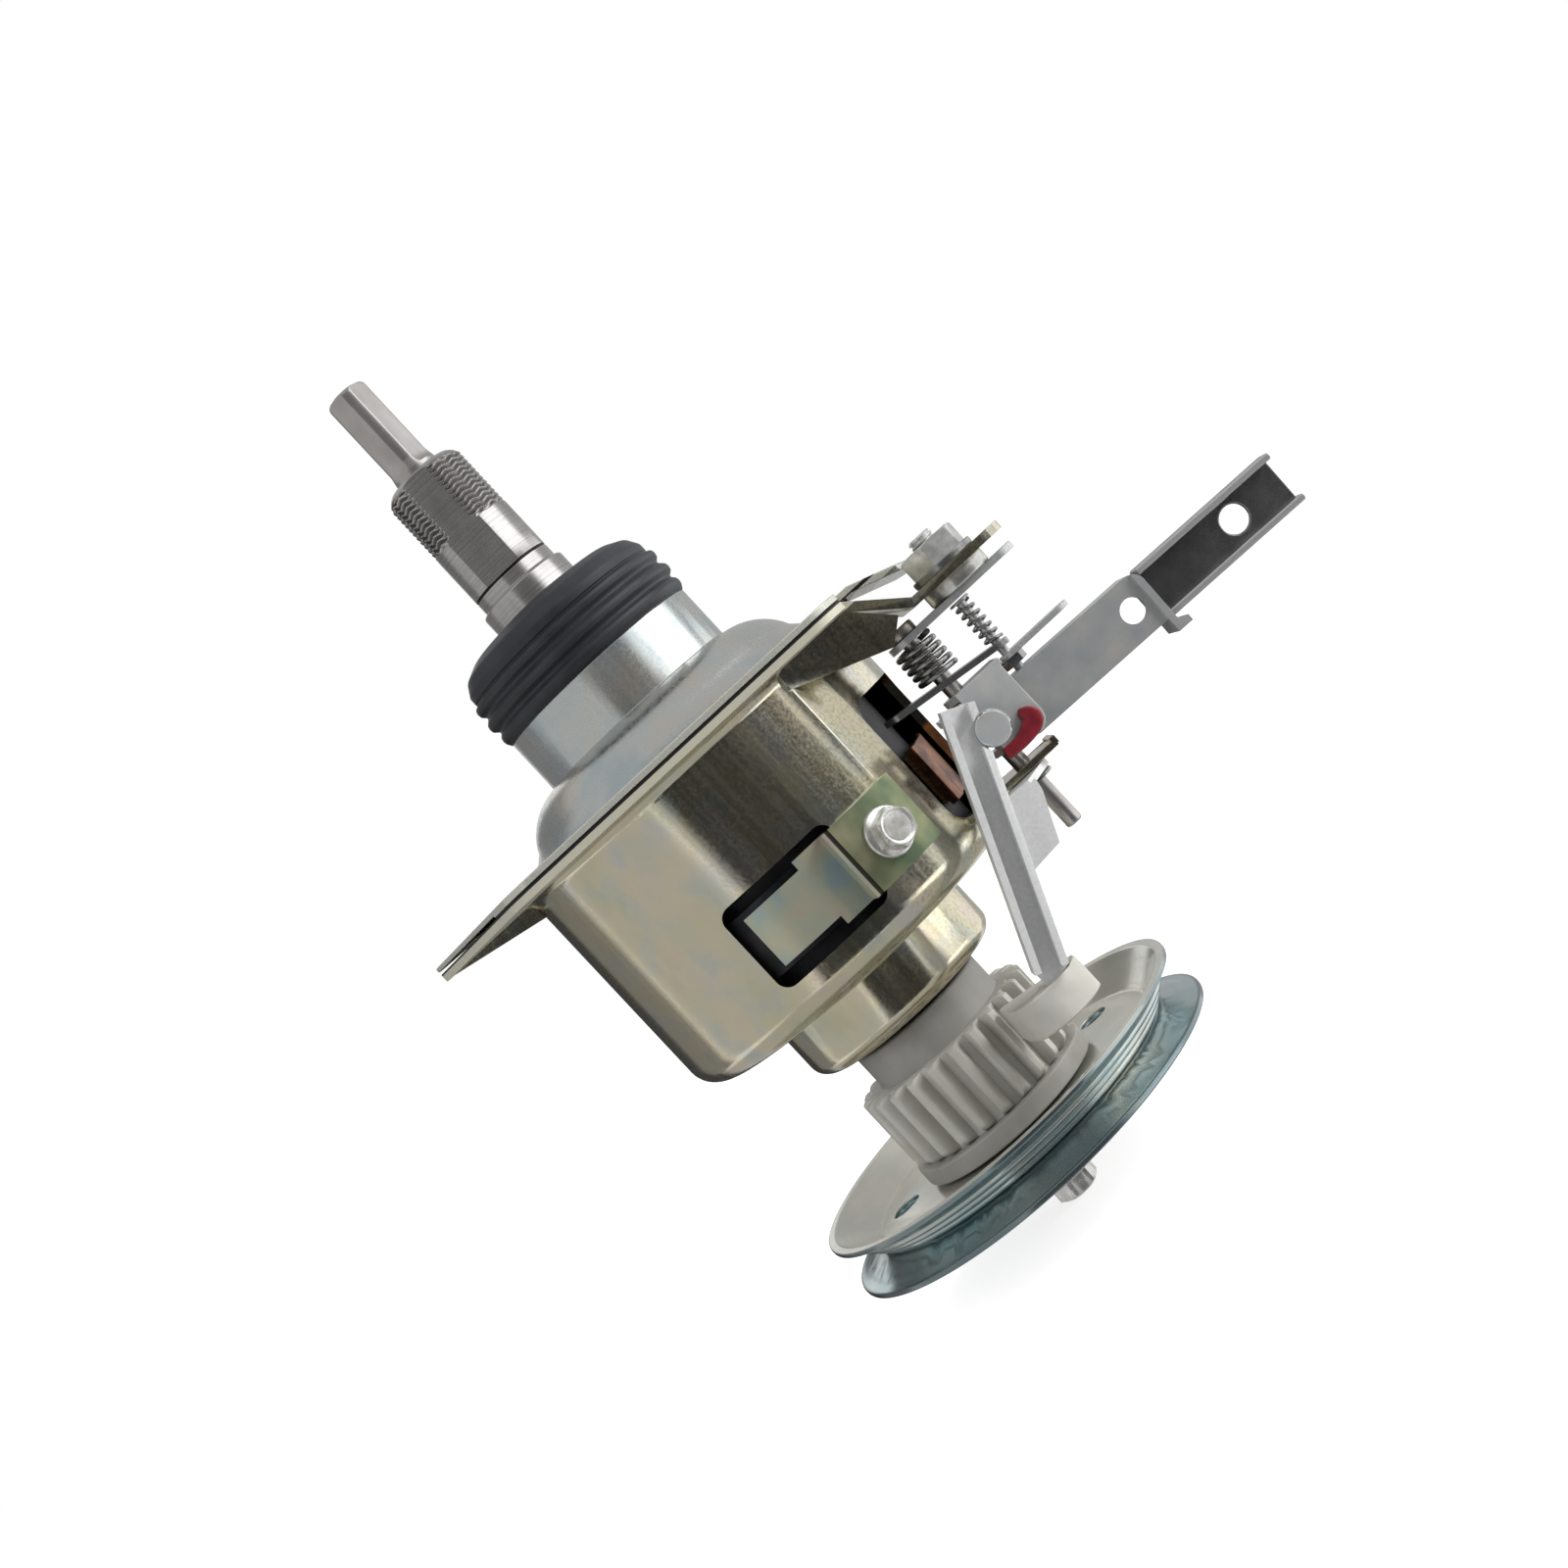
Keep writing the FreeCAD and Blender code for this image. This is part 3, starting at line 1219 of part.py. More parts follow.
def pawl_tip():
    x, y, radius = tip_round
    low, high = tip_z

    def spot(angle):
        a = math.radians(angle)
        return V(x + radius * math.cos(a), y + radius * math.sin(a), low)

    first, last = spot(180 + tip_round_end), spot(360 - tip_round_end)
    claw = [(claw_tip[0] + claw_width, claw_tip[1] + 0.2), claw_tip, claw_heel]
    corners = [last] + [V(px, py, low) for px, py in [*tip_rear, *claw]] + [first]
    edges = [Part.Arc(first, spot(270), last).toShape()]
    edges += [Part.LineSegment(a, b).toShape() for a, b in zip(corners, corners[1:])]
    shoe = Part.Face(Part.Wire(edges)).extrude(V(0, 0, high - low))
    slot_low_x, slot_high_x, slot_low_y, slot_high_y, deep = tip_slot
    slot = block((slot_low_x, slot_high_x), (slot_low_y, slot_high_y), (high - deep, high + 1))
    return shoe.cut([slot, arm_tang()])


def pawl_arm():
    near = arm_rear_y - arm_sheet
    dx, dz = arm_foot[0] - arm_top[0], arm_foot[1] - arm_top[1]
    long = math.hypot(dx, dz)
    ux, uz = dx / long, dz / long
    nx, nz = -uz, ux
    half = arm_width / 2

    def strip(from_side, to_side, near_y, far_y, start=0.0):
        ends = [(arm_top[0] + ux * s + nx * w, arm_top[1] + uz * s + nz * w)
                for s, w in ((start, from_side), (long, from_side), (long, to_side), (start, to_side))]
        return prism_y(ends, near_y, far_y)

    web = strip(-half, half, near, arm_rear_y)
    left = strip(-half, -half + arm_sheet, near - arm_flange, near)
    right = strip(half - arm_sheet, half, near - arm_flange, near)
    side = prism_y(gusset, near, arm_rear_y)
    boss_room = Part.makeCylinder(boss_r + 0.5, 20, V(boss_x, near - 15, boss_z), V(0, 1, 0))
    shank_room = Part.makeCylinder(boss_shank_r + part_gap, 20, V(boss_x, near - 5, boss_z), V(0, 1, 0))
    right = right.cut(boss_room)
    left = left.cut(boss_room)
    upper_z = bracket_top_z - lever_sheet - part_gap
    ring_r = ear_ring_r - part_gap
    upper_ear = merged(block((arm_top[0] - 4.4, bracket_x[0] - 0.4), (near, pin_y),
                             (upper_z - arm_sheet, upper_z)),
                       cylinder(ring_r, upper_z - arm_sheet, upper_z, pin_x, pin_y))
    lower_z = lug_z - part_gap
    lower_ear = merged(prism_z([(low_ear_root[0], near), (low_ear_root[1], near), (pin_x + 3.6, pin_y - 2.5),
                                (pin_x - 3.6, pin_y + 2.5)], lower_z - arm_sheet, lower_z),
                       cylinder(ring_r, lower_z - arm_sheet, lower_z, pin_x, pin_y))
    tang = arm_tang()
    pin_room = cylinder(pin_r + run_gap, lower_z - 5, upper_z + 5, pin_x, pin_y)
    body = merged(web, left, right, side, tang).cut(shank_room)
    return merged(body, upper_ear, lower_ear).cut(pin_room)


def build():
    upper_outer, upper_inner = bearing_rings(upper_bearing_z)
    lower_bearing_z = pocket_floor_z + pocket_sheet
    lower_outer, lower_inner = bearing_rings(lower_bearing_z)
    pieces = {
        "upper_housing": upper_housing(), "lower_housing": lower_housing(),
        "water_seal": water_seal(), "seal_lip_spring": seal_lip_spring(),
        "upper_bearing_outer_ring": upper_outer, "upper_bearing_inner_ring": upper_inner,
        "upper_bearing_balls": ball_set(upper_bearing_z),
        "lower_bearing_outer_ring": lower_outer, "lower_bearing_inner_ring": lower_inner,
        "lower_bearing_balls": ball_set(lower_bearing_z),
        "spin_tube": spin_tube(), "upper_shaft_bush": tube_bush(upper_bush_top_z - bush_long),
        "lower_shaft_bush": tube_bush(lower_bush_low_z), "shaft_seal": shaft_seal(),
        "drum_lid": drum_lid(), "brake_drum": brake_drum(), "ring_gear": ring_gear(),
        "input_bush": input_bush(journal_low_z + 1),
        "pulsator_shaft": pulsator_shaft(), "carrier_top_plate": carrier_top(),
        "carrier_bottom_plate": carrier_bottom(), "planet_pins": planet_pins(),
        "input_shaft": input_shaft(), "clutch_sleeve": clutch_sleeve(),
        "pulley_upper_half": pulley_half(upper_rim_r, upper_rim_z, 1),
        "pulley_lower_half": pulley_half(lower_rim_r, lower_rim_z, -1),
        "pulley_hub": pulley_hub(), "pulley_washer": pulley_washer(), "pulley_bolt": pulley_bolt(),
        "clutch_spring": clutch_spring(), "ratchet_wheel": ratchet_wheel(),
        "brake_band": brake_band(), "brake_lining": brake_lining(),
        "band_anchor": band_anchor(), "anchor_bolt": anchor_bolt(),
        "tab_stud": tab_stud(), "tab_washer": tab_washer(), "tab_nut": tab_nut(),
        "pivot_pin": pivot_pin(), "pivot_clip": pivot_clip(), "guide_plate": guide_plate(),
        "lower_lug": lower_lug(), "pivot_spring": pivot_spring(), "post_spring": post_spring(),
        "lever_bracket": lever_bracket(), "lever_channel": lever_channel(),
        "lever_extension": lever_extension(), "brake_plate": brake_plate(),
        "spring_post": spring_post(), "post_plate": post_plate(), "post_nut": post_nut(),
        "lever_boss": lever_boss(), "red_stop": red_stop(), "pawl_arm": pawl_arm(),
        "pawl_tip": pawl_tip()}
    for index in range(planet_count):
        pieces["planet_gear_%d" % (index + 1)] = planet_gear(index)
    for name, shape in pieces.items():
        save(name, shape)


build()
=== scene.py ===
import json

import bmesh
import bpy
import numpy as np
from mathutils import Matrix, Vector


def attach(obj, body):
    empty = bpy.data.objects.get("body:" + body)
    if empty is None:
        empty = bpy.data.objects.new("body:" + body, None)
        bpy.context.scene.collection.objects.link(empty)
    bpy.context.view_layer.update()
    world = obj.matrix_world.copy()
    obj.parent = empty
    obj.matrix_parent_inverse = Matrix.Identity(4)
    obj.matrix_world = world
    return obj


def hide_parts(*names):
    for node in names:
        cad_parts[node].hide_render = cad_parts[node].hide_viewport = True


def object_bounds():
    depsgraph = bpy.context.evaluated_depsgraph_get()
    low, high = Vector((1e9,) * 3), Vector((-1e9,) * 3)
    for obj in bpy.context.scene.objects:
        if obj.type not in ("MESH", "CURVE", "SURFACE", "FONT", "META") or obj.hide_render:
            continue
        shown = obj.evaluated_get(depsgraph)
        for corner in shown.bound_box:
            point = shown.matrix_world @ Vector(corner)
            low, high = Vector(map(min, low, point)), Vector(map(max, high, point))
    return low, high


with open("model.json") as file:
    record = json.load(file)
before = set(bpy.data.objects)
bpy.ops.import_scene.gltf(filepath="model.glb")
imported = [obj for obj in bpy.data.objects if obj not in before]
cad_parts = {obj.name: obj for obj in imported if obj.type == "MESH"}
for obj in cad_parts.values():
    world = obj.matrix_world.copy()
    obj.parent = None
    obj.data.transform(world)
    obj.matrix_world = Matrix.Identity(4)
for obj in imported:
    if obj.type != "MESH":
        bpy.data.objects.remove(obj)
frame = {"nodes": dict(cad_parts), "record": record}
cad_low, cad_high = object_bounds()
record = frame["record"]
MM = 0.001

# Camera: a 45 mm lens in front of the cup at the height of the flange, tipped slightly down.
# It is rolled, so that the main shaft points to the upper left of the picture.
focal_mm = 45.3
sensor_mm = 36.0
eye = np.array([13.0, -450.0, -8.6]) * MM
tip_down = np.radians(1.6)
roll = np.radians(42.88)
forward = np.array([0.0, np.cos(tip_down), -np.sin(tip_down)])
level_right = np.array([1.0, 0.0, 0.0])
level_up = np.cross(level_right, forward)
right = np.cos(roll) * level_right - np.sin(roll) * level_up
up = np.sin(roll) * level_right + np.cos(roll) * level_up
camera = bpy.data.objects.new("camera", bpy.data.cameras.new("camera"))
camera.data.lens = focal_mm
camera.data.sensor_width = sensor_mm
camera.data.clip_start = 0.01


def stood(axes, place):
    """A matrix whose columns are the three axes and the place."""
    return Matrix([[*row, spot] for row, spot in zip(np.stack(axes, 1), place)] + [[0, 0, 0, 1]])


camera.matrix_world = stood([right, up, -forward], eye)
bpy.context.collection.objects.link(camera)
bpy.context.scene.camera = camera
bpy.context.scene.view_settings.view_transform = "Standard"


# Studio: white surroundings, a pale floor under the pulley bolt that keeps the shadow, soft lamps,
# and a ring of boards that only reflections see, which draws the dark and bright bands on the metal.
def add(tree, kind, inputs=None, **settings):
    """A shader node; an input is linked where its value is another node's socket, and else set."""
    made = tree.nodes.new("ShaderNode" + kind)
    for key, value in settings.items():
        setattr(made, key, value)
    for key, value in (inputs or {}).items():
        if isinstance(value, bpy.types.NodeSocket):
            tree.links.new(value, made.inputs[key])
        else:
            made.inputs[key].default_value = value
    return made


def maths(tree, operation, *values):
    """The number that the operation makes of the values, each a number or another node's socket."""
    return add(tree, "Math", dict(enumerate(values)), operation=operation).outputs[0]


def seen_directly(tree):
    """1 for camera, glossy and transmission rays, 0 for the rays that light the object."""
    path = add(tree, "LightPath")
    either = maths(tree, "MAXIMUM", path.outputs["Is Camera Ray"], path.outputs["Is Glossy Ray"])
    return maths(tree, "MAXIMUM", either, path.outputs["Is Transmission Ray"])


world = bpy.data.worlds.new("studio")
bpy.context.scene.world = world
world.use_nodes = True
sky = world.node_tree
sky.nodes.clear()
fill = add(sky, "Background", {"Color": (0.95, 0.97, 1.0, 1), "Strength": 0.55})
white = add(sky, "Background", {"Color": (1, 1, 1, 1), "Strength": 1.0})
blend = add(sky, "MixShader", {0: seen_directly(sky), 1: fill.outputs[0], 2: white.outputs[0]})
add(sky, "OutputWorld", {"Surface": blend.outputs[0]})


def board(name, corners):
    """A flat four-cornered board."""
    mesh = bpy.data.meshes.new(name)
    mesh.from_pydata(corners, [], [(0, 1, 2, 3)])
    made = bpy.data.objects.new(name, mesh)
    bpy.context.collection.objects.link(made)
    return made


floor_gap = 0.0005
floor_z = cad_low[2] - floor_gap
floor_shine = 0.76
reach = 4.0
floor = board("floor", [(-reach, -reach, floor_z), (reach, -reach, floor_z), (reach, reach, floor_z),
                        (-reach, reach, floor_z)])
floor_paint = bpy.data.materials.new("pale_floor")
floor_paint.use_nodes = True
tree = floor_paint.node_tree
tree.nodes.clear()
matt = add(tree, "BsdfDiffuse", {"Color": (0.5, 0.49, 0.48, 1)})
floor_glow = maths(tree, "MULTIPLY", seen_directly(tree), floor_shine)
glow = add(tree, "Emission", {"Color": (1, 1, 1, 1), "Strength": floor_glow})
both = add(tree, "AddShader", {0: matt.outputs[0], 1: glow.outputs[0]})
add(tree, "OutputMaterial", {"Surface": both.outputs[0]})
floor.data.materials.append(floor_paint)
floor.visible_glossy = False


def facing(azimuth, elevation):
    """Directions out, sideways and up for a board that looks at the object from an azimuth and an
    elevation in degrees; azimuth 0 is the camera's side."""
    a, e = np.radians(azimuth), np.radians(elevation)
    out = np.array([np.sin(a) * np.cos(e), -np.cos(a) * np.cos(e), np.sin(e)])
    side = np.array([np.cos(a), np.sin(a), 0.0])
    return out, side, np.cross(out, side)


def flag(name, azimuth, elevation, distance, width, height, shade):
    """A glowing board square to the line from the object, seen by reflections alone; its distance and
    size are in metres."""
    out, side, rise = facing(azimuth, elevation)
    made = board(name, [out * distance + side * sx * width / 2 + rise * sz * height / 2
                        for sx, sz in ((-1, -1), (1, -1), (1, 1), (-1, 1))])
    paint = bpy.data.materials.new(name)
    paint.use_nodes = True
    paint.node_tree.nodes.clear()
    grey = add(paint.node_tree, "Emission", {"Color": (1, 1, 1, 1), "Strength": shade})
    add(paint.node_tree, "OutputMaterial", {"Surface": grey.outputs[0]})
    made.data.materials.append(paint)
    made.visible_camera = False
    made.visible_diffuse = False
    made.visible_shadow = False
    made.visible_transmission = False


# Name, azimuth, elevation, distance, width, height and shade of each.
flags = [("flag_front_low", 7, -14, 1.15, 1.30, 0.62, 0.045),
         ("flag_front", 7, 8, 1.25, 1.42, 1.7, 0.20),
         ("flag_left", -66, 8, 1.25, 1.9, 1.7, 0.56),
         ("flag_far_left", -132, 8, 1.2, 1.20, 1.7, 0.24),
         ("flag_left_behind", -158, -14, 1.1, 0.85, 0.70, 0.05),
         ("flag_bottom", 0, -89, 0.95, 2.9, 2.9, 0.50),
         ("flag_near_right", 48, -7, 1.05, 0.63, 0.36, 0.11),
         ("flag_right_low", 84, -7, 1.08, 0.70, 0.36, 0.90),
         ("flag_right", 70, 8, 1.2, 1.15, 1.7, 2.2),
         ("flag_far_right", 118, -12, 1.12, 0.90, 0.84, 1.3),
         ("flag_behind", 142, 8, 1.25, 2.4, 1.7, 0.50),
         ("flag_top", 0, 89, 0.95, 2.9, 2.9, 0.55)]
for row in flags:
    flag(*row)


def lamp(name, azimuth, elevation, distance, size, power):
    """A square softbox that points at the origin, over the cup; distance and size in metres, power
    in watts."""
    out, side, rise = facing(azimuth, elevation)
    light = bpy.data.lights.new(name, "AREA")
    light.size = size
    light.energy = power
    made = bpy.data.objects.new(name, light)
    made.matrix_world = stood([side, rise, out], out * distance)
    made.visible_glossy = False
    bpy.context.collection.objects.link(made)


lamp("softbox_left", -48, 30, 1.1, 0.6, 5.0)
lamp("softbox_right", 70, 18, 1.1, 0.5, 16.0)
lamp("softbox_back", 170, 45, 1.3, 0.7, 6.0)


# Pulsator shaft: hardened steel, turned round and milled square at the top, with rounded corners
# left by the bar. Its end takes the pulsator's screw, and it runs down to the planet carrier.
body_of = {node: body for body, nodes in record["behaviour"]["bodies"].items() for node in nodes}


def tone(red, green, blue):
    """A screen colour of 0 to 255 as linear light."""
    c = np.array([red, green, blue]) / 255
    linear = np.where(c < 0.04045, c / 12.92, ((c + 0.055) / 1.055) ** 2.4)
    return (*linear.tolist(), 1.0)


def finish(name, colour, roughness, metallic=1.0, **sockets):
    """A material; returns it with its node tree, its shader and the object's coordinates."""
    paint = bpy.data.materials.new(name)
    paint.use_nodes = True
    shader = paint.node_tree.nodes["Principled BSDF"]
    values = {"Base Color": colour, "Roughness": roughness, "Metallic": metallic, **sockets}
    for key, value in values.items():
        shader.inputs[key].default_value = value
    return paint, paint.node_tree, shader, add(paint.node_tree, "TexCoord").outputs["Object"]


def clouds(tree, place, grain, detail=3.0, shift=(0.0, 0.0, 0.0)):
    """Noise from 0 to 1 whose spots measure about the three grain lengths in millimetres."""
    scale = tuple(1000.0 / g for g in grain)
    mapped = add(tree, "Mapping", {"Vector": place, "Scale": scale, "Location": shift})
    return add(tree, "TexNoise", {"Vector": mapped.outputs[0], "Scale": 1.0, "Detail": detail}).outputs["Fac"]


def shades(tree, factor, *stops):
    """Colours blended along a factor; each stop is a position and a colour."""
    ramp = add(tree, "ValToRGB", {"Fac": factor})
    marks = ramp.color_ramp.elements
    marks[0].position, marks[0].color = stops[0]
    marks[1].position, marks[1].color = stops[-1]
    for position, colour in stops[1:-1]:
        marks.new(position).color = colour
    return ramp.outputs["Color"]


def ranged(tree, factor, low, high, start=0.3, end=0.7):
    """A factor from start to end carried over to low to high."""
    return add(tree, "MapRange", {"Value": factor, "From Min": start, "From Max": end,
                                  "To Min": low, "To Max": high}).outputs[0]


def feed(tree, shader, socket, source):
    """The source, another node's socket, sets one of the shader's."""
    tree.links.new(source, shader.inputs[socket])


def relief(tree, shader, height, depth_mm):
    """Bumps of the given depth under the shader."""
    bump = add(tree, "Bump", {"Height": height, "Strength": 1.0, "Distance": depth_mm * MM})
    feed(tree, shader, "Normal", bump.outputs[0])


def rounded(rows, steps=5):
    """A closed outline in millimetres. Each row is a corner's radius or first coordinate, its height
    and its fillet. The fillet's arc begins at fillet / tan(half the corner) from the corner, at most
    0.48 of the way along a side, and its points are weighted by the sines of the angles to its ends."""
    rows = np.array(rows, float)
    here, fillet = rows[:, :2], rows[:, 2]
    before = np.roll(here, 1, 0) - here
    after = np.roll(here, -1, 0) - here
    long_before = np.linalg.norm(before, axis=1)
    long_after = np.linalg.norm(after, axis=1)
    before /= long_before[:, None]
    after /= long_after[:, None]
    half = np.arccos(np.clip((before * after).sum(1), -1, 1)) / 2
    back = np.minimum(fillet / np.tan(half), 0.48 * np.minimum(long_before, long_after))
    radius = back * np.tan(half)
    middle = before + after
    middle /= np.maximum(np.linalg.norm(middle, axis=1), 1e-9)[:, None]
    centre = here + middle * (radius / np.sin(half))[:, None]
    first = here + before * back[:, None] - centre
    last = here + after * back[:, None] - centre
    sweep = np.maximum(np.pi - 2 * half, 1e-3)[:, None]
    along = np.linspace(0, 1, steps)[None, :]
    share_first = np.sin((1 - along) * sweep) / np.sin(sweep)
    share_last = np.sin(along * sweep) / np.sin(sweep)
    arcs = centre[:, None] + first[:, None] * share_first[..., None] + last[:, None] * share_last[..., None]
    return arcs.reshape(-1, 2)


def refined(outline, longest):
    """The outline with extra points, so that no side is longer than the given length, which may be
    one number or one for each point's following side."""
    after = np.roll(outline, -1, 0)
    counts = np.maximum(np.ceil(np.linalg.norm(after - outline, axis=1) / longest).astype(int), 1)
    which = np.repeat(np.arange(len(outline)), counts)
    share = (np.arange(counts.sum()) - np.repeat(np.cumsum(counts) - counts, counts)) / counts[which]
    return outline[which] + (after - outline)[which] * share[:, None]


def skin(name, *grids, looped=True, bend=32.0):
    """An object whose mesh spans each grid[row, column] of points in millimetres, closed along the
    columns and, where looped, along the rows. Doubles are merged, so equal points close as a pole."""
    points, quads, used = [], [], 0
    for grid in grids:
        rows, columns = grid.shape[:2]
        index = used + np.arange(rows * columns).reshape(rows, columns)
        here = index if looped else index[:-1]
        below = np.roll(index, -1, 0) if looped else index[1:]
        quads.append(np.stack([here, np.roll(here, -1, 1), np.roll(below, -1, 1), below], -1).reshape(-1, 4))
        points.append(grid.reshape(-1, 3) * MM)
        used += rows * columns
    mesh = bpy.data.meshes.new(name)
    mesh.from_pydata(np.concatenate(points).tolist(), [], np.concatenate(quads).tolist())
    shell = bmesh.new()
    shell.from_mesh(mesh)
    bmesh.ops.remove_doubles(shell, verts=shell.verts, dist=2e-6)
    bmesh.ops.recalc_face_normals(shell, faces=shell.faces)
    shell.to_mesh(mesh)
    shell.free()
    mesh.shade_smooth()
    mesh.set_sharp_from_angle(angle=np.radians(bend))
    made = bpy.data.objects.new(name, mesh)
    bpy.context.collection.objects.link(made)
    return made


def spun(outline, columns, trim=None):
    """A grid of (radius, z) points carried round Z. trim(angle, z, radius) gives each point's radius."""
    angle = np.linspace(0, 2 * np.pi, columns, endpoint=False)[None, :]
    radius = outline[:, :1] + 0 * angle
    z = outline[:, 1:] + 0 * angle
    if trim is not None:
        radius = trim(angle + 0 * radius, z, radius)
    return np.stack([radius * np.cos(angle), radius * np.sin(angle), z], -1)


def fit(piece, paint, *nodes):
    """The piece stands for the CAD nodes, moves with their body and has their finish."""
    piece.data.materials.clear()
    piece.data.materials.append(paint)
    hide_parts(*nodes)
    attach(piece, body_of[nodes[0]])


shaft_r = 5.6
shaft_top = 110.9
shaft_foot = -27.2
square_half = 4.4
square_foot = 90.0
corner_r = 5.15
square_turn = np.radians(51.7)
runout = 2.4
holes_within = 3.4


def square_trim(angle, z, radius):
    """Radius held under the four flats: half / max(|cos|, |sin|) of the turned angle, where half grows
    along a quarter circle over the run-out under the square. The holes in both ends stay round."""
    fade = np.clip((square_foot - z) / runout, 0, 1)
    half = square_half + (1 - np.sqrt(1 - fade ** 2)) * (shaft_r + 0.2 - square_half)
    flat = half / np.maximum(abs(np.cos(angle - square_turn)), abs(np.sin(angle - square_turn)))
    outer = radius > holes_within
    return np.where(outer & (z > square_foot - runout), np.minimum(radius, flat), radius)


shaft_line = rounded([(0, shaft_foot + 6, 0), (3.05, shaft_foot + 6, 0), (3.05, shaft_foot, 0.2),
                      (shaft_r, shaft_foot, 0.3), (shaft_r, square_foot - runout, 0.3),
                      (corner_r, square_foot, 0.3), (corner_r, shaft_top, 1.8), (3.1, shaft_top, 0.1),
                      (2.5, shaft_top - 0.6, 0.1), (2.5, shaft_top - 20, 0), (0, shaft_top - 21.2, 0)])
shaft_line = refined(shaft_line, 0.6)
shaft = skin("pulsator_shaft_square", spun(shaft_line, 192, square_trim), bend=38)
ground_steel, tree, shader, place = finish("ground_steel", tone(186, 182, 178), 0.30)
marks = clouds(tree, place, (60, 60, 0.35), 2.0)
stains = clouds(tree, place, (7, 7, 11), 3.0)
feed(tree, shader, "Base Color",
     shades(tree, stains, (0.3, tone(176, 172, 170)), (0.7, tone(200, 197, 194))))
feed(tree, shader, "Roughness", ranged(tree, marks, 0.28, 0.40))
relief(tree, shader, marks, 0.0015)
fit(shaft, ground_steel, "pulsator_shaft")


# Spin tube: turned steel with a flange for the drum's lid, a bearing seat and the basket's collar. Its
# cut thread was pressed by a splined tool, which left the ridges zigzag, and two flats were milled
# through it. The thread's roots and the groove under the flats are painted dark as shade.
tube_top = 86.0
thread_foot = 68.9
thread_pitch = 1.27
thread_deep = 0.62
thread_r = 10.35
thread_root = thread_r - thread_deep
thread_fade = 0.8
thread_end = tube_top - 0.9
flats_half = 9.15
flats_foot = 56.0
flats_turn = np.radians(264.0)
groove_foot = 55.5
groove_r = 9.95
bore_within = 8.6
zigzags = 15


def coordinate(tree, vector, letter):
    """The X, Y or Z of a vector."""
    return add(tree, "SeparateXYZ", {0: vector}).outputs[letter]


def banded(tree, place, low_mm, high_mm):
    """1 where the height lies between the two, else 0."""
    height = coordinate(tree, place, "Z")
    centre = (low_mm + high_mm) / 2 * MM
    return maths(tree, "COMPARE", height, centre, (high_mm - low_mm) / 2 * MM)


def mixed(tree, factor, first, second):
    """Two colours mixed by a factor; each of the three is a value or another node's socket."""
    made = add(tree, "Mix", {"Factor": factor}, data_type="RGBA")
    for letter, colour in (("A", first), ("B", second)):
        if isinstance(colour, bpy.types.NodeSocket):
            tree.links.new(colour, made.inputs[letter])
        else:
            made.inputs[letter].default_value = colour
    return made.outputs["Result"]


def off_axis(tree, place):
    """Distance from the main axis."""
    flat = add(tree, "VectorMath", {0: place, 1: (1.0, 1.0, 0.0)}, operation="MULTIPLY").outputs[0]
    return add(tree, "VectorMath", {0: flat}, operation="LENGTH").outputs["Value"]


def tube_trim(angle, z, radius):
    """Radius under the flats and in the thread. The thread's depth is a triangle wave of z over the
    pitch, moved by the angle's own turn and by 0.45 of a pitch of a triangle wave of the angle. It is
    stretched by 1.35, lowered by 0.12 and clipped, which flattens crests and roots. The bore stays."""
    outer = radius > bore_within
    turn = angle / (2 * np.pi)
    sway = np.abs(((turn * zigzags) % 1) * 2 - 1) * 0.45
    phase = (z / thread_pitch - turn + sway) % 1
    depth = thread_deep * np.clip(np.abs(phase * 2 - 1) * 1.35 - 0.12, 0, 1)
    ends = np.clip((z - thread_foot) / thread_fade, 0, 1) * np.clip((thread_end - z) / thread_fade, 0, 1)
    cut = np.where(z > thread_foot, thread_r - depth * ends, radius)
    flat = flats_half / np.maximum(abs(np.cos(angle - flats_turn)), 0.1)
    cut = np.where(z > flats_foot, np.minimum(cut, flat), cut)
    return np.where(outer, np.minimum(radius, cut), radius)


tube_line = rounded([(8.0, -14.0, 0.1), (22.0, -14.0, 0.3), (22.0, -12.0, 0.3), (14.5, -12.0, 0.6),
                     (14.5, 16.0, 0.3), (12.5, 16.0, 0.3), (12.5, 28.0, 0.3), (11.6, 28.0, 0.2),
                     (11.6, 52.2, 0.9), (thread_r, 52.2, 0.5), (thread_r, groove_foot, 0.1),
                     (groove_r, groove_foot, 0.05), (groove_r, flats_foot, 0.05),
                     (thread_r, flats_foot, 0.1), (thread_r, thread_foot - 0.1, 0.05),
                     (thread_r + 0.001, tube_top - 2.0, 0.4), (9.6, tube_top - 0.8, 0.3),
                     (8.7, tube_top, 0.2), (8.0, tube_top, 0.2)], steps=4)
in_thread = (tube_line[:, 1] >= thread_foot - 0.2) & (tube_line[:, 0] > bore_within)
tube_line = refined(tube_line, np.where(in_thread, 0.16, 6.0))
tube = skin("spin_tube_threaded", spun(tube_line, 400, tube_trim), bend=50)
turned_steel, tree, shader, place = finish("turned_steel", tone(186, 184, 182), 0.24)
marks = clouds(tree, place, (80, 80, 0.30), 2.0)
stains = clouds(tree, place, (6, 6, 9), 3.0)
lathe = clouds(tree, place, (80, 80, 0.55), 1.0)
bright = shades(tree, stains, (0.3, tone(180, 177, 176)), (0.7, tone(206, 204, 202)))
lined = mixed(tree, ranged(tree, lathe, 0.0, 0.35), bright, tone(96, 93, 90))
# The groove under the flats is painted dark: painted shade in the recess.
groove_painted_shade = mixed(tree, banded(tree, place, groove_foot - 0.1, flats_foot + 0.1), lined, tone(48, 46, 44))
axis_gap = off_axis(tree, place)
over_root = ranged(tree, axis_gap, 0, 0.8, (thread_root - 0.15) * MM, (thread_root - 0.05) * MM)
under_crest = ranged(tree, axis_gap, 1, 0, (thread_root + 0.09) * MM, (thread_root + 0.32) * MM)
